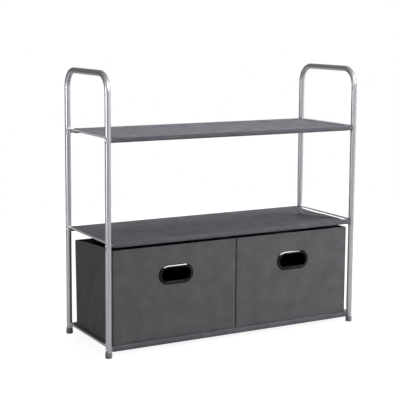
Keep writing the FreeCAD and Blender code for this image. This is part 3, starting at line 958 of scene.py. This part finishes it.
@dataclass(frozen=True)
class Fold:
    """A soft ridge in stretched cloth.

    Attributes:
        x: The middle's place.
        y: The middle's place.
        lean: Its angle from the Y axis, in radians.
        length: Its length.
        width: Its width.
        height: Its rise, or its depth if negative.
    """

    x: float
    y: float
    lean: float
    length: float
    width: float
    height: float

    def rise(self, x: np.ndarray, y: np.ndarray) -> np.ndarray:
        """Return the fold's rise at the given places."""
        along = (x - self.x) * math.sin(self.lean) + (y - self.y) * math.cos(self.lean)
        across = (x - self.x) * math.cos(self.lean) - (y - self.y) * math.sin(self.lean)
        ends = 1 - smooth_step(np.abs(along), 0.25 * self.length, 0.5 * self.length)
        return self.height * ends * np.exp(-(across / self.width) ** 2)


@dataclass
class Shelf:
    """One cloth stretched between two cross tubes, with a sleeve sewn round each.

    Attributes:
        tier: Which shelf.
        sag: How far the deck's middle hangs below its sleeves.
        seed: The seed of its folds.
        sizes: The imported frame's sizes.
        right_gap: The distance from the right side rod's axis to the cloth beside it.
        left_gap: The same on the left.
    """

    tier: Tier
    sag: float
    seed: int
    sizes: FrameSizes
    right_gap: float = 4.0 * MM
    left_gap: float = 4.0 * MM
    thickness: float = 1.0 * MM
    hem_reach: float = 15.0 * MM
    end_hem: float = 9.0 * MM
    corner_run: float = 42.0 * MM
    corner_gap: float = 24.0 * MM
    bare_tube: float = 9.6 * MM
    drawn_radius: float = 6.2 * MM
    sleeve_power: float = 0.66
    seam_angle: float = math.radians(31)
    seam_half_angle: float = math.radians(6)
    seam_depth: float = 1.6 * MM
    pucker_height: float = 0.3 * MM
    pucker_length: float = 4.2 * MM
    pucker_width: float = 7.0 * MM
    hem_height: float = 0.5 * MM
    columns: int = 190
    measured_column: int = 90
    tail_rows: int = 5
    sleeve_rows: int = 26
    seam_rows: int = 8
    hem_rows: int = 13
    deck_rows: int = 33
    fold_count: int = 34
    fan_inset: float = 20 * MM
    folds: list[Fold] = field(default_factory=list)

    def build(self, stitching: Recipe) -> None:
        """Build the cloth and its stitches.

        Args:
            stitching: The tree that sews stitches along lines.
        """
        self.folds = self.make_folds()
        node = self.tier.value + "_shelf"
        path, free = self.section()
        y, z = path[:, :1], path[:, 1:]
        share = self.column_shares()[None, :]
        low, high = (self.end_reach(side, y) for side in Side)
        points = self.drawn_in(np.stack([low + (high - low) * share, y + 0 * share,
                                         z + 0 * share], -1))
        points[:, :, 2] += free[:, None] * self.relief(points)
        sheet = MeshBuilder().grid(points).piece(node + "_sheet", SHELF_CLOTH)
        if sheet.data.polygons[len(sheet.data.polygons) // 2].normal.z < 0:
            sheet.data.flip_normals()
        solid = sheet.modifiers.new("thickness", "SOLIDIFY")
        solid.thickness = self.thickness
        solid.offset = -1.0
        piece = place(baked(sheet, node + "_cloth", SHELF_CLOTH), "frame", "shelf_fabric", node)
        self.stitches(points, z[:, 0], y[:, 0], stitching)

    def make_folds(self) -> list[Fold]:
        """Choose the shelf's tension folds: most run front to rear, and some fan from corners."""
        random = np.random.default_rng(self.seed)
        s = self.sizes
        folds = [Fold(x=random.uniform(-s.leg_x, s.leg_x), y=random.uniform(-0.06, 0.06),
                      lean=random.uniform(-0.35, 0.85), length=random.uniform(0.12, 0.30),
                      width=random.uniform(5, 13) * MM, height=random.uniform(-1.9, 2.1) * MM)
                 for _ in range(self.fold_count)]
        for side in Side:
            for row in Row:
                for lean in (0.5, 0.95, 1.25):
                    reach = random.uniform(0.10, 0.17)
                    x = side.value * (s.leg_x - self.fan_inset - reach * math.sin(lean) / 2)
                    y = row.value * (s.leg_y - self.fan_inset - reach * math.cos(lean) / 2)
                    folds.append(Fold(x, y, side.value * row.value * lean, reach,
                                      random.uniform(5, 9) * MM, random.uniform(1.2, 2.2) * MM))
        return folds

    def section(self) -> tuple[np.ndarray, np.ndarray]:
        """Lay out the cloth's outside from its front tail round both tubes to its rear tail.

        Returns:
            Places across the shelf, as Y and Z, and whether the cloth hangs free of a tube there.
        """
        s = self.sizes
        centre_z = s.tiers[self.tier]
        crest = centre_z + s.cloth_radius
        inner = s.leg_y - self.hem_reach
        tail_z = crest - 2 * self.thickness
        gap_y, gap_z = inner - s.leg_y, tail_z - centre_z
        touch = math.atan2(gap_z, gap_y) + math.acos(s.cloth_radius / math.hypot(gap_y, gap_z))
        seam = math.tau + self.seam_angle
        sweep = np.sort(np.concatenate([
            np.linspace(touch, 2.5 * math.pi, self.sleeve_rows),
            seam + self.seam_half_angle * np.linspace(-2, 2, self.seam_rows)]))
        way = np.stack([np.cos(sweep), np.sin(sweep)], -1)
        groove = self.seam_depth * np.exp(-((sweep - seam) / self.seam_half_angle) ** 2)
        sleeve = ((s.leg_y, centre_z) - groove[:, None] * way
                  + s.cloth_radius * np.sign(way) * np.abs(way) ** self.sleeve_power)
        slack = np.linspace(0, 1, self.tail_rows + 1)[:-1, None]
        tail = np.array([inner, tail_z]) * (1 - slack) + sleeve[0] * slack
        top_y = np.concatenate([np.linspace(s.leg_y, inner, self.hem_rows + 1)[1:],
                                np.linspace(inner, 0, self.deck_rows + 1)[1:]])
        top = np.stack([top_y, np.full_like(top_y, crest)], -1)
        half = np.concatenate([tail, sleeve, top])
        free = np.concatenate([np.ones(len(tail)), np.zeros(len(sleeve)), np.ones(len(top))])
        front = half * np.array([-1.0, 1.0])
        return np.concatenate([front, half[::-1][1:]]), np.concatenate([free, free[::-1][1:]])

    def corner_reach(self, side: Side, row: Row) -> float:
        """Find how far one sleeve reaches along its tube, as an X."""
        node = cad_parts[self.tier.value + "_shelf"]
        edge = self.sizes.leg_y + 0.6 * self.sizes.cloth_radius
        return side.value * max(
            v.co.x * side.value for v in node.data.vertices if v.co.y * row.value > edge)

    def end_reach(self, side: Side, y: np.ndarray) -> np.ndarray:
        """Find the cloth's end: beside the side rod, and drawn in at the two sleeves.

        Args:
            side: Which end.
            y: Places across the shelf.

        Returns:
            The end's X at each place.
        """
        s = self.sizes
        gap = self.left_gap if side is Side.LEFT else self.right_gap
        beside = side.value * (s.leg_x - gap)
        inside = s.leg_y - np.abs(y)
        corner = np.where(y < 0, self.corner_reach(side, Row.FRONT), self.corner_reach(side, Row.REAR))
        cut = side.value * np.maximum(side.value * corner, s.leg_x - self.corner_gap)
        deck_end = cut + (beside - cut) * smooth_step(inside, 8 * MM, self.corner_run)
        at_leg = side.value * (s.leg_x - self.bare_tube)
        sleeve_end = np.where((y > 0) & (side is Side.LEFT), corner, at_leg)
        return sleeve_end + (deck_end - sleeve_end) * smooth_step(inside, 6 * MM, 10 * MM)

    def drawn_in(self, points: np.ndarray) -> np.ndarray:
        """Narrow the sleeves towards the legs, past the corners of the deck."""
        s = self.sizes
        for side in Side:
            for row in Row:
                corner = abs(self.corner_reach(side, row))
                past = smooth_step(side.value * points[..., 0], corner - 4 * MM, corner + 8 * MM)
                near = smooth_step(row.value * points[..., 1], s.leg_y - 10 * MM, s.leg_y - 6 * MM)
                scale = 1 - past * near * (1 - self.drawn_radius / s.cloth_radius)
                axis = np.array([row.value * s.leg_y, s.tiers[self.tier]])
                points[..., 1:] = axis + (points[..., 1:] - axis) * scale[..., None]
        return points

    def column_shares(self) -> np.ndarray:
        """Space the columns evenly, with closer ones at the end hems."""
        hem = np.array([0.0, 0.002, 0.005, 0.008, 0.011, 0.014])
        return np.concatenate([hem, np.linspace(0.018, 0.982, self.columns), 1 - hem[::-1]])

    def relief(self, points: np.ndarray) -> np.ndarray:
        """Work out how the deck sinks, and what folds, seams and end hems add to it."""
        x, y = points[..., 0], points[..., 1]
        inside = self.sizes.leg_y - np.abs(y)
        from_end = np.minimum(x - points[:, :1, 0], points[:, -1:, 0] - x)
        away = smooth_step(from_end, 6 * MM, 90 * MM)
        sink = self.sag * smooth_step(inside, 4 * MM, self.hem_reach) * (0.25 + 0.75 * away)
        middle = smooth_step(inside, self.hem_reach - 2 * MM, self.hem_reach + 24 * MM)
        lift = middle * sum(fold.rise(x, y) for fold in self.folds)
        off_seam = (inside - self.hem_reach) / self.pucker_width
        pucker = self.pucker_height * np.sin(x / self.pucker_length) * np.exp(-off_seam ** 2)
        past_hem = smooth_step(from_end, self.end_hem - 1 * MM, self.end_hem + 1 * MM)
        hem = self.hem_height * (1 - past_hem)
        return lift + pucker + hem - sink

    def stitches(self, points: np.ndarray, z: np.ndarray, y: np.ndarray,
                 stitching: Recipe) -> bpy.types.Object:
        """Sew the seams that close the sleeves, and the two end hems.

        Args:
            points: The cloth's points.
            z: The height of its rows before the relief.
            y: The rows' places across the shelf.
            stitching: The tree that sews stitches along lines.

        Returns:
            The stitches.
        """
        s = self.sizes
        sewn = points + np.array([0, 0, 0.15 * MM])
        top_rows = np.flatnonzero(z > s.tiers[self.tier] + s.cloth_radius - 0.1 * MM)
        seams = [row.value * (s.leg_y - self.hem_reach) for row in Row]
        lines = [sewn[top_rows[np.argmin(np.abs(y[top_rows] - seam))]] for seam in seams]
        lines += [sewn[top_rows[0]:top_rows[-1] + 1, column] for column in (4, -5)]
        piece = stitching.apply(
            line_source(lines), self.tier.value + "_shelf_stitches", THREAD, Pitch=3.4 * MM,
            Stitch_Length=2.6 * MM, Thread=0.7 * MM, Seed=self.seed)
        return place(piece, "frame", "shelf_fabric")


# Bins


@dataclass
class Bin:
    """One open fabric bin: cloth over four boards, a lining, a rim, a grab handle and a base board.

    The sizes are those of the right bin. The left one is its mirror image.
    """

    side: Side
    cover: float = 0.9 * MM
    board: float = 2.5 * MM
    lining: float = 0.7 * MM
    rim: float = 0.8 * MM
    rim_drop: float = 12.0 * MM
    middle_droop: float = 5.0 * MM
    rear_droop: float = 15.0 * MM
    corner: float = 2.8 * MM
    inner_corner: float = 0.8 * MM
    swell: float = 0.55 * MM
    handle_hole: float = 18.0 * MM
    handle_rim: float = 9.0 * MM
    handle_dome: float = 3.4 * MM
    handle_edge: float = 1.0 * MM
    inner_bevel: float = 1.5 * MM
    outer_bevel: float = 4.0 * MM
    welt: float = 0.9 * MM
    seam_drop: float = 9.0 * MM
    leg_columns: tuple[int, ...] = (26, 36, 56, 36, 26)
    corner_steps: int = 5
    level_count: int = 42
    wave_count: int = 9

    def __post_init__(self) -> None:
        """Read the right bin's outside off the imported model."""
        self.low, self.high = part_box("right_bin_cover")
        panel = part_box("right_bin_bottom_panel")[1]
        self.floor = panel.z - self.low.z
        lean_rise = self.high.z - self.rear_droop - panel.z
        self.lean = (self.high.y - self.cover - panel.y) / lean_rise
        self.depth = panel.y + self.cover - self.low.y - self.lean * self.floor
        self.top_depth = self.high.y - self.low.y
        self.wall = self.cover + self.board + self.lining
        self.prefix = self.side.name.lower() + "_bin"
        self.mirrored = self.side is Side.LEFT
        handle_low, handle_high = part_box("right_bin_handle")
        self.handle_centre = (handle_low + handle_high) / 2
        self.handle_run = (handle_high.x - handle_low.x) / 2 - self.handle_hole - self.handle_rim
        self.handle_depth = handle_high.y - self.low.y
        self.columns = self.lay_out_columns()

    def lay_out_columns(self) -> np.ndarray:
        """List the places round the walls, from the rear's middle and back to it.

        Returns:
            Rows of: share of the width, share of the depth, and the outward direction.
        """
        stops = np.array([(0.5, 1.0), (0.0, 1.0), (0.0, 0.0), (1.0, 0.0), (1.0, 1.0), (0.5, 1.0)])
        places: list[tuple[float, float, float, float]] = []
        for leg, count in enumerate(self.leg_columns):
            start, end = stops[leg], stops[leg + 1]
            travel_x, travel_y = np.sign(end - start)
            for share in np.linspace(0, 1, count):
                places.append((*(start + (end - start) * share), travel_y, -travel_x))
            if leg < len(self.leg_columns) - 1:
                first = (leg + 1) % 4 * math.pi / 2
                for angle in first + np.linspace(0, math.pi / 2, self.corner_steps + 1)[1:-1]:
                    places.append((*end, math.cos(angle), math.sin(angle)))
        return np.array(places)

    def top_line(self, y: np.ndarray) -> np.ndarray:
        """Return the height of the walls' top edge, which falls away to the rear."""
        share = (y - self.low.y) / self.top_depth
        bend = 2 * self.rear_droop - 4 * self.middle_droop
        slope = 4 * self.middle_droop - self.rear_droop
        return self.high.z - slope * share - bend * share ** 2

    def ring(self, inset: float, radius: float, share: float, rise: float = 0.0) -> np.ndarray:
        """Place a ring of points round the walls.

        Args:
            inset: How far it lies inside the bin's outside.
            radius: The radius of its corners.
            share: Its height, from 0 at the floor to 1 at the top edge.
            rise: A height added to that.

        Returns:
            The points, of shape (columns, 3).
        """
        u, v, nx, ny = self.columns.T
        inner = inset + radius
        x = self.low.x + inner + u * (self.high.x - self.low.x - 2 * inner) + radius * nx
        y = z = np.full_like(u, self.low.z)
        for _ in range(3):
            depth = self.depth + (z - self.low.z) * self.lean
            y = self.low.y + inner + v * (depth - 2 * inner) + radius * ny
            z = self.low.z + share * (self.top_line(y) - self.low.z) + rise
        return np.stack([x, y, z], -1)

    def rings(self, *levels: tuple[float, ...]) -> np.ndarray:
        """Stack several rings, each given as inset, radius, share and rise."""
        return np.array([self.ring(*level) for level in levels])

    def puff(self, points: np.ndarray) -> np.ndarray:
        """Swell the cloth unevenly between its edges.

        Args:
            points: Rings of points, of shape (rings, columns, 3).

        Returns:
            The moved points.
        """
        random = np.random.default_rng(5 + self.side.value)
        u, v, nx, ny = self.columns.T
        along = np.where(np.abs(nx) > 0.5, points[..., 1], points[..., 0])
        up = points[..., 2]
        swell = np.zeros_like(up)
        for _ in range(self.wave_count):
            swell += np.sin(along * random.uniform(15, 75) + up * random.uniform(-55, 55)
                            + random.uniform(0, math.tau)) / self.wave_count
        flat = np.abs(nx * ny) < 1e-6
        edge = 16 * flat * (u * (1 - u) * (ny != 0) + v * (1 - v) * (nx != 0))
        share = (up - self.low.z) / (self.high.z - self.low.z)
        ends = smooth_step(share, 0.0, 0.08) * (1 - smooth_step(share, 0.86, 0.95))
        amount = self.swell * (0.55 + swell) * np.clip(edge, 0, 1) * ends
        return points + np.stack([amount * nx, amount * ny, 0 * amount], -1)

    def build(self, stitching: Recipe) -> None:
        """Build the bin's pieces and dress its plain nodes.

        Args:
            stitching: The tree that sews stitches along lines.
        """
        self.cover_cloth()
        self.panel_cloth()
        self.rim_cloth()
        self.lining_cloth()
        self.welts()
        self.handle()
        self.base_board()
        self.stitches(stitching)
        for part in ("front_board", "rear_board", "outer_board", "inner_board"):
            dress(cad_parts[f"{self.prefix}_{part}"], BOARD)
        dress(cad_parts[f"{self.prefix}_handle_back"], HANDLE_PLASTIC)

    def body_piece(self, builder: MeshBuilder, name: str, finish: Finish, slot: str,
                   *nodes: str, pierced: bool = False) -> None:
        """Finish a piece of this bin and let it ride on the bin's body.

        Args:
            builder: The piece's patches.
            name: Its name, without the bin's.
            finish: Its finish.
            slot: The name of a material slot, passed on to place.
            nodes: The nodes that it replaces, without the bin's name.
            pierced: Whether the handle's oval hole is cut through it.
        """
        full_name = f"{self.prefix}_{name}"
        piece = builder.piece("whole" if pierced else full_name, finish, self.mirrored)
        if pierced:
            piece = self.pierced(piece, full_name, finish)
        place(piece, self.prefix, slot, *[f"{self.prefix}_{node}" for node in nodes])

    def pierced(self, source: bpy.types.Object, name: str, finish: Finish) -> bpy.types.Object:
        """Cut the handle's oval hole through a piece.

        Args:
            source: The whole piece, which is removed.
            name: The new piece's name.
            finish: Its finish.

        Returns:
            The cut piece.
        """
        radius, reach = self.handle_hole + 2.3 * MM, 20 * MM
        ring = self.oval([(radius, -reach), (radius, reach)], 12)
        cutter = MeshBuilder().grid(ring).cap(*ring).piece("cutter", finish, self.mirrored)
        cut = source.modifiers.new("hole", "BOOLEAN")
        cut.operation = "DIFFERENCE"
        cut.object = cutter
        cut.solver = "EXACT"
        piece = baked(source, name, finish)
        bpy.data.objects.remove(cutter)
        piece.data.set_sharp_from_angle(angle=math.radians(SHARP_EDGE))
        return piece

    def oval(self, section: list[tuple[float, float]], turns: int) -> np.ndarray:
        """Take a section once round the handle's oval.

        Args:
            section: Pairs of distance from the oval's centre line and place behind the front wall.
            turns: The number of steps in each rounded end.

        Returns:
            The points, of shape (section, round, 3).
        """
        directions = []
        for side, first in ((1, -math.pi / 2), (-1, math.pi / 2)):
            for angle in first + np.linspace(0, math.pi, turns + 1):
                directions.append((side, math.cos(angle), math.sin(angle)))
            for share in np.linspace(1, -1, 14)[1:-1]:
                directions.append((side * share, 0.0, float(side)))
        directions.append(directions[0])
        side, dx, dz = np.array(directions).T
        radius, back = (column[:, None] for column in np.array(section).T)
        x = self.handle_centre.x + side * self.handle_run + radius * dx
        return np.stack([x, self.low.y + back + 0 * x, self.handle_centre.z + radius * dz], -1)

    def cover_cloth(self) -> None:
        """Wrap the boards in the outer cloth, with an oval hole for the handle."""
        near = self.corner
        skin = self.puff(self.rings(
            (0.6 * MM, near - 0.6 * MM, 0.0), (0.15 * MM, near - 0.15 * MM, 0.0, 0.25 * MM),
            (0.0, near, 0.0, 0.8 * MM),
            *((0.0, near, share) for share in np.linspace(0.0, 1.0, self.level_count + 2)[1:-1]),
            (0.0, near, 1.0, -0.6 * MM), (0.0, near, 1.0)))
        inside = self.cover - 0.05 * MM
        back = self.rings(*((inside, near - inside, share) for share in (1.0, 0.5, 0.0)))
        builder = MeshBuilder().grid(skin).grid(np.stack([skin[-1], back[0]]))
        builder.grid(back).grid(np.stack([back[-1], skin[0]]))
        self.body_piece(builder, "cover_cloth", BIN_CLOTH, "bin_fabric", "cover", pierced=True)

    def panel_cloth(self) -> None:
        """Cover the bin's underside with the same cloth, over its bottom panel."""
        gap = self.cover + 0.05 * MM
        walls = self.rings((gap + 0.4 * MM, 1.0 * MM, 0.0), (gap, 1.4 * MM, 0.0, 0.3 * MM),
                           (gap, 1.4 * MM, 0.0, self.floor - 0.05 * MM))
        builder = MeshBuilder().grid(walls).cap(walls[0], walls[-1])
        self.body_piece(builder, "bottom_cloth", BIN_CLOTH, "bin_fabric", "bottom_panel")

    def rim_cloth(self) -> None:
        """Fold the cloth over the walls' top edge and down inside."""
        deep, skirt = self.wall + self.rim, self.wall + 0.03 * MM
        near, tight = self.corner, self.inner_corner
        ring = self.rings(
            (0.0, near, 1.0, 0.02 * MM), (0.08 * MM, near, 1.0, 0.40 * MM),
            (0.45 * MM, near - 0.4 * MM, 1.0, 0.70 * MM), (1.1 * MM, near - 1.0 * MM, 1.0, self.rim),
            (deep - 1.2 * MM, 1.2 * MM, 1.0, self.rim), (deep - 0.4 * MM, 1.0 * MM, 1.0, 0.5 * MM),
            (deep, tight, 1.0), (deep, tight, 1.0, 0.4 * MM - self.rim_drop),
            (deep - 0.3 * MM, tight, 1.0, -self.rim_drop), (skirt, tight, 1.0, -self.rim_drop),
            (skirt, tight, 1.0, 0.02 * MM), (0.0, near, 1.0, 0.02 * MM))
        self.body_piece(MeshBuilder().grid(ring), "rim_cloth", BIN_CLOTH, "bin_fabric", "rim")

    def lining_cloth(self) -> None:
        """Line the inside, down the walls and over the floor, with the handle's hole."""
        outside, tight = self.cover + self.board + 0.03 * MM, self.inner_corner
        bed = self.floor + self.lining
        face = self.rings(
            *((self.wall, tight, share) for share in (1.0, 0.9, 0.7, 0.5, 0.3, 0.12)),
            (self.wall, tight, 0.0, bed + 2.0 * MM),
            (self.wall + 0.5 * MM, tight, 0.0, bed + 0.6 * MM), (self.wall + 2.0 * MM, tight, 0.0, bed))
        back = self.rings((outside, 1.4 * MM, 1.0), (outside, 1.4 * MM, 0.5),
                          (outside, 1.4 * MM, 0.0, self.floor + 0.03 * MM))
        builder = MeshBuilder().grid(face).grid(back).grid(np.stack([face[0], back[0]]))
        builder.cap(face[-1], back[-1])
        self.body_piece(builder, "lining_cloth", LINING_CLOTH, "bin_lining", "lining", pierced=True)

    def welts(self) -> None:
        """Sew a thin welt up each corner of the cover."""
        builder = MeshBuilder()
        _, _, nx, ny = self.columns.T
        skin = self.rings(*((0.1 * MM, self.corner - 0.1 * MM, share)
                            for share in np.linspace(0.004, 0.996, 24)))
        for corner_x in (-1, 1):
            for corner_y in (-1, 1):
                column = int(np.argmax(nx * corner_x + ny * corner_y))
                builder.tube(skin[:, column], self.welt, 10)
        self.body_piece(builder, "corner_welts", BIN_CLOTH, "bin_fabric")

    def handle(self) -> None:
        """Mould the bezel: a domed oval ring with a collar through the wall."""
        inner, outer = self.handle_hole, self.handle_hole + self.handle_rim
        collar, seat, back = inner + 2.0 * MM, -0.1 * MM, self.handle_depth
        crown = seat - self.handle_dome
        corners = [(inner, back), (inner, crown + self.inner_bevel),
                   (inner + self.inner_bevel, crown), (outer - self.outer_bevel, crown),
                   (outer, seat - self.handle_edge), (outer, seat), (collar, seat),
                   (collar, back), (inner, back)]
        section = [corners[0]]
        for before, corner, after in zip(corners, corners[1:], corners[2:]):
            section.extend(softened(before, corner, after, 0.35 * MM))
        ring = self.oval([*section, corners[-1]], 30)
        self.body_piece(MeshBuilder().grid(ring), "handle_bezel", HANDLE_PLASTIC,
                        "handle_plastic", "handle")

    def base_board(self) -> None:
        """Wrap the loose base board in lining cloth, with soft corners."""
        low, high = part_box("right_bin_base_board")
        edge, corner = 1.2 * MM, 4.0 * MM
        angles = np.linspace(0, math.tau, 41)
        quarter = (np.arange(41) // 10) % 4
        sign_x, sign_y = np.array([(1, 1), (-1, 1), (-1, -1), (1, -1)])[quarter].T
        centre, half = (low + high) / 2, (high - low) / 2
        rings = []
        for inset, z in ((edge, low.z), (0.3 * edge, low.z + 0.3 * edge), (0.0, low.z + edge),
                         (0.0, high.z - edge), (0.3 * edge, high.z - 0.3 * edge), (edge, high.z)):
            radius = corner - inset
            x = centre.x + sign_x * (half.x - corner) + radius * np.cos(angles)
            y = centre.y + sign_y * (half.y - corner) + radius * np.sin(angles)
            rings.append(np.stack([x, y, np.full_like(x, z)], -1))
        builder = MeshBuilder().grid(np.array(rings)).cap(rings[0], rings[-1])
        name = self.side.name.lower() + "_base_board"
        place(builder.piece(name + "_wrapped", LINING_CLOTH, self.mirrored), name, "base_board",
              f"{self.prefix}_base_board")

    def stitches(self, stitching: Recipe) -> None:
        """Sew the rim through the wall, outside and inside."""
        lines = [self.ring(-0.12 * MM, self.corner, 1.0, -self.seam_drop),
                 self.ring(self.wall + self.rim + 0.1 * MM, self.inner_corner, 1.0, -self.seam_drop)]
        if self.mirrored:
            lines = [line * MIRROR for line in lines]
        piece = stitching.apply(
            line_source(lines), self.prefix + "_stitches", THREAD, Pitch=3.6 * MM,
            Stitch_Length=2.7 * MM, Thread=0.55 * MM, Seed=23)
        place(piece, self.prefix, "bin_fabric")


# Studio


@dataclass(frozen=True)
class Lamp:
    """A soft box lamp.

    Attributes:
        place: Where it hangs.
        aim: What it points at.
        power: Its power in watts.
        gloss_only: Whether only reflections show it.
        matt_only: Whether no reflection shows it.
    """

    name: str
    place: tuple[float, float, float]
    aim: tuple[float, float, float]
    width: float
    height: float
    power: float
    gloss_only: bool = False
    matt_only: bool = False

    def hang(self) -> None:
        """Add the lamp to the scene."""
        data = bpy.data.lights.new(self.name, "AREA")
        data.shape = "RECTANGLE"
        data.size = self.width
        data.size_y = self.height
        data.energy = self.power
        lamp = in_scene(self.name, data)
        lamp.location = self.place
        lamp.visible_diffuse = not self.gloss_only
        lamp.visible_glossy = not self.matt_only
        direction = Vector(self.aim) - Vector(self.place)
        lamp.rotation_euler = direction.to_track_quat("-Z", "Y").to_euler()


@dataclass(frozen=True)
class Camera:
    """The camera at the photograph's place, with angles in degrees."""

    place: tuple[float, float, float] = (-1.5665, -2.7180, 0.8886)
    yaw: float = 29.246
    pitch: float = 7.649
    roll: float = 0.382
    lens: float = 99.5
    shift_y: float = -0.08

    def mount(self) -> None:
        """Add the camera and make it the scene's own."""
        yaw, pitch, roll = (math.radians(a) for a in (self.yaw, self.pitch, self.roll))
        ahead = Vector((math.sin(yaw) * math.cos(pitch), math.cos(yaw) * math.cos(pitch),
                        -math.sin(pitch)))
        level = Vector((math.cos(yaw), -math.sin(yaw), 0.0))
        upright = level.cross(ahead)
        right = level * math.cos(roll) + upright * math.sin(roll)
        up = upright * math.cos(roll) - level * math.sin(roll)
        data = bpy.data.cameras.new("camera")
        data.lens = self.lens
        data.shift_y = self.shift_y
        camera = in_scene("camera", data)
        turn = Matrix((right, up, -ahead)).transposed().to_4x4()
        camera.matrix_world = Matrix.Translation(self.place) @ turn
        bpy.context.scene.camera = camera


@dataclass(frozen=True)
class Studio:
    """A white room with soft lamps overhead and to the right, and strips that only gloss shows.

    Metal shows a white wall on the right, a dark one behind and a grey room elsewhere, so that
    the tubes get the dark lines and edges of the photograph.
    """

    lamps: tuple[Lamp, ...] = (
        Lamp("overhead", (0.1, 0.22, 2.4), (0.0, 0.0, 0.4), 1.5, 1.2, 35.5, matt_only=True),
        Lamp("key", (1.8, -1.9, 1.75), (0.0, 0.0, 0.3), 1.2, 1.2, 84.0, matt_only=True),
        Lamp("left_fill", (-2.4, -0.25, 0.7), (0.0, -0.1, 0.3), 0.7, 0.9, 8.5),
        Lamp("left_strip", (-2.1, -0.3, 0.6), (0.0, -0.1, 0.4), 0.6, 1.5, 6.0, gloss_only=True),
        Lamp("handle_strip", (0.6, -1.75, 1.8), (0.0, -0.1, 0.2), 2.0, 0.35, 110.0,
             gloss_only=True))
    ambient: float = 0.12
    wall_way: tuple[float, float, float] = (0.996, -0.087, 0.0)
    wall_edge: float = 0.58
    wall_heart: float = 0.8
    room_in_metal: float = 0.40
    rear_in_metal: float = 0.14
    floor_size: float = 4.0
    floor_paint: float = 0.25
    floor_glow: float = 0.92
    floor_in_metal: float = 0.38

    def build(self) -> None:
        """Add the lamps, the world, the floor and the camera."""
        for lamp in self.lamps:
            lamp.hang()
        self.world()
        self.floor()
        Camera().mount()
        bpy.context.scene.view_settings.view_transform = "Standard"

    def world(self) -> None:
        """Light the room dimly and evenly, white to the camera, with walls that only gloss shows."""
        world = bpy.data.worlds.new("white_room")
        nodes = NodeBuilder.on(world)
        ray = add_node(nodes.tree, "ShaderNodeLightPath").outputs
        way = nodes.add("ShaderNodeTexCoord", result="Generated")
        _, rearward, upward = nodes.split(way)
        facing = nodes.add("ShaderNodeVectorMath", {0: way, 1: self.wall_way}, "Value",
                           operation="DOT_PRODUCT")
        wall = nodes.remap(facing, (self.wall_edge, self.wall_heart), (0, 1), smooth=True)
        below = nodes.remap(upward, (0.15, 0.5), (1, 0), smooth=True)
        room = nodes.remap(rearward, (0.1, 0.5), (self.room_in_metal, self.rear_in_metal),
                           smooth=True)
        walls = nodes.math("MAXIMUM", nodes.math("MULTIPLY", wall, below), room)
        strength = nodes.math("MULTIPLY", ray["Is Glossy Ray"], walls)
        for least in (ray["Is Camera Ray"], ray["Is Transmission Ray"], self.ambient):
            strength = nodes.math("MAXIMUM", strength, least)
        light = nodes.add("ShaderNodeBackground", {"Color": WHITE, "Strength": strength})
        add_node(nodes.tree, "ShaderNodeOutputWorld", inputs={"Surface": light})
        bpy.context.scene.world = world

    def floor(self) -> None:
        """Lay a pale floor that keeps the object's shadow."""
        half = self.floor_size / 2
        mesh = bpy.data.meshes.new("floor")
        mesh.from_pydata([(-half, -half, 0), (half, -half, 0), (half, half, 0), (-half, half, 0)],
                         [], [(0, 1, 2, 3)])
        material = bpy.data.materials.new("floor_matt_white")
        nodes = NodeBuilder.on(material)
        ray = add_node(nodes.tree, "ShaderNodeLightPath").outputs
        place = nodes.add("ShaderNodeTexCoord", result="Object")
        far = nodes.add("ShaderNodeVectorMath", {0: place}, "Value", operation="LENGTH")
        strength = nodes.remap(far, (half / 3, 2 * half / 3), (self.floor_glow, 1))
        paint = nodes.add("ShaderNodeBsdfDiffuse", {"Color": (self.floor_paint,) * 3 + (1.0,)})
        glow = nodes.add("ShaderNodeEmission", {"Color": WHITE, "Strength": strength})
        both = nodes.add("ShaderNodeAddShader", {0: paint, 1: glow})
        shown = nodes.math("MULTIPLY_ADD", ray["Is Glossy Ray"], self.floor_in_metal,
                           ray["Is Camera Ray"])
        mixed = nodes.add("ShaderNodeMixShader", {0: shown, 1: paint, 2: both})
        add_node(nodes.tree, "ShaderNodeOutputMaterial", inputs={"Surface": mixed})
        mesh.materials.append(material)
        in_scene("floor", mesh)


def main() -> None:
    """Build the organizer and the studio, in order."""
    logging.basicConfig(level=logging.INFO, format="%(message)s")
    sizes = FrameSizes.read()
    stitching = stitching_recipe()
    TubeFrame(sizes).build()
    shelves = (Shelf(Tier.TOP, 6.0 * MM, 3, sizes),
               Shelf(Tier.MIDDLE, 5.0 * MM, 8, sizes, right_gap=17 * MM),
               Shelf(Tier.BOTTOM, 0.6 * MM, 14, sizes))
    for shelf in shelves:
        shelf.build(stitching)
    for side in Side:
        Bin(side).build(stitching)
    Studio().build()


if __name__ == "__main__":
    main()
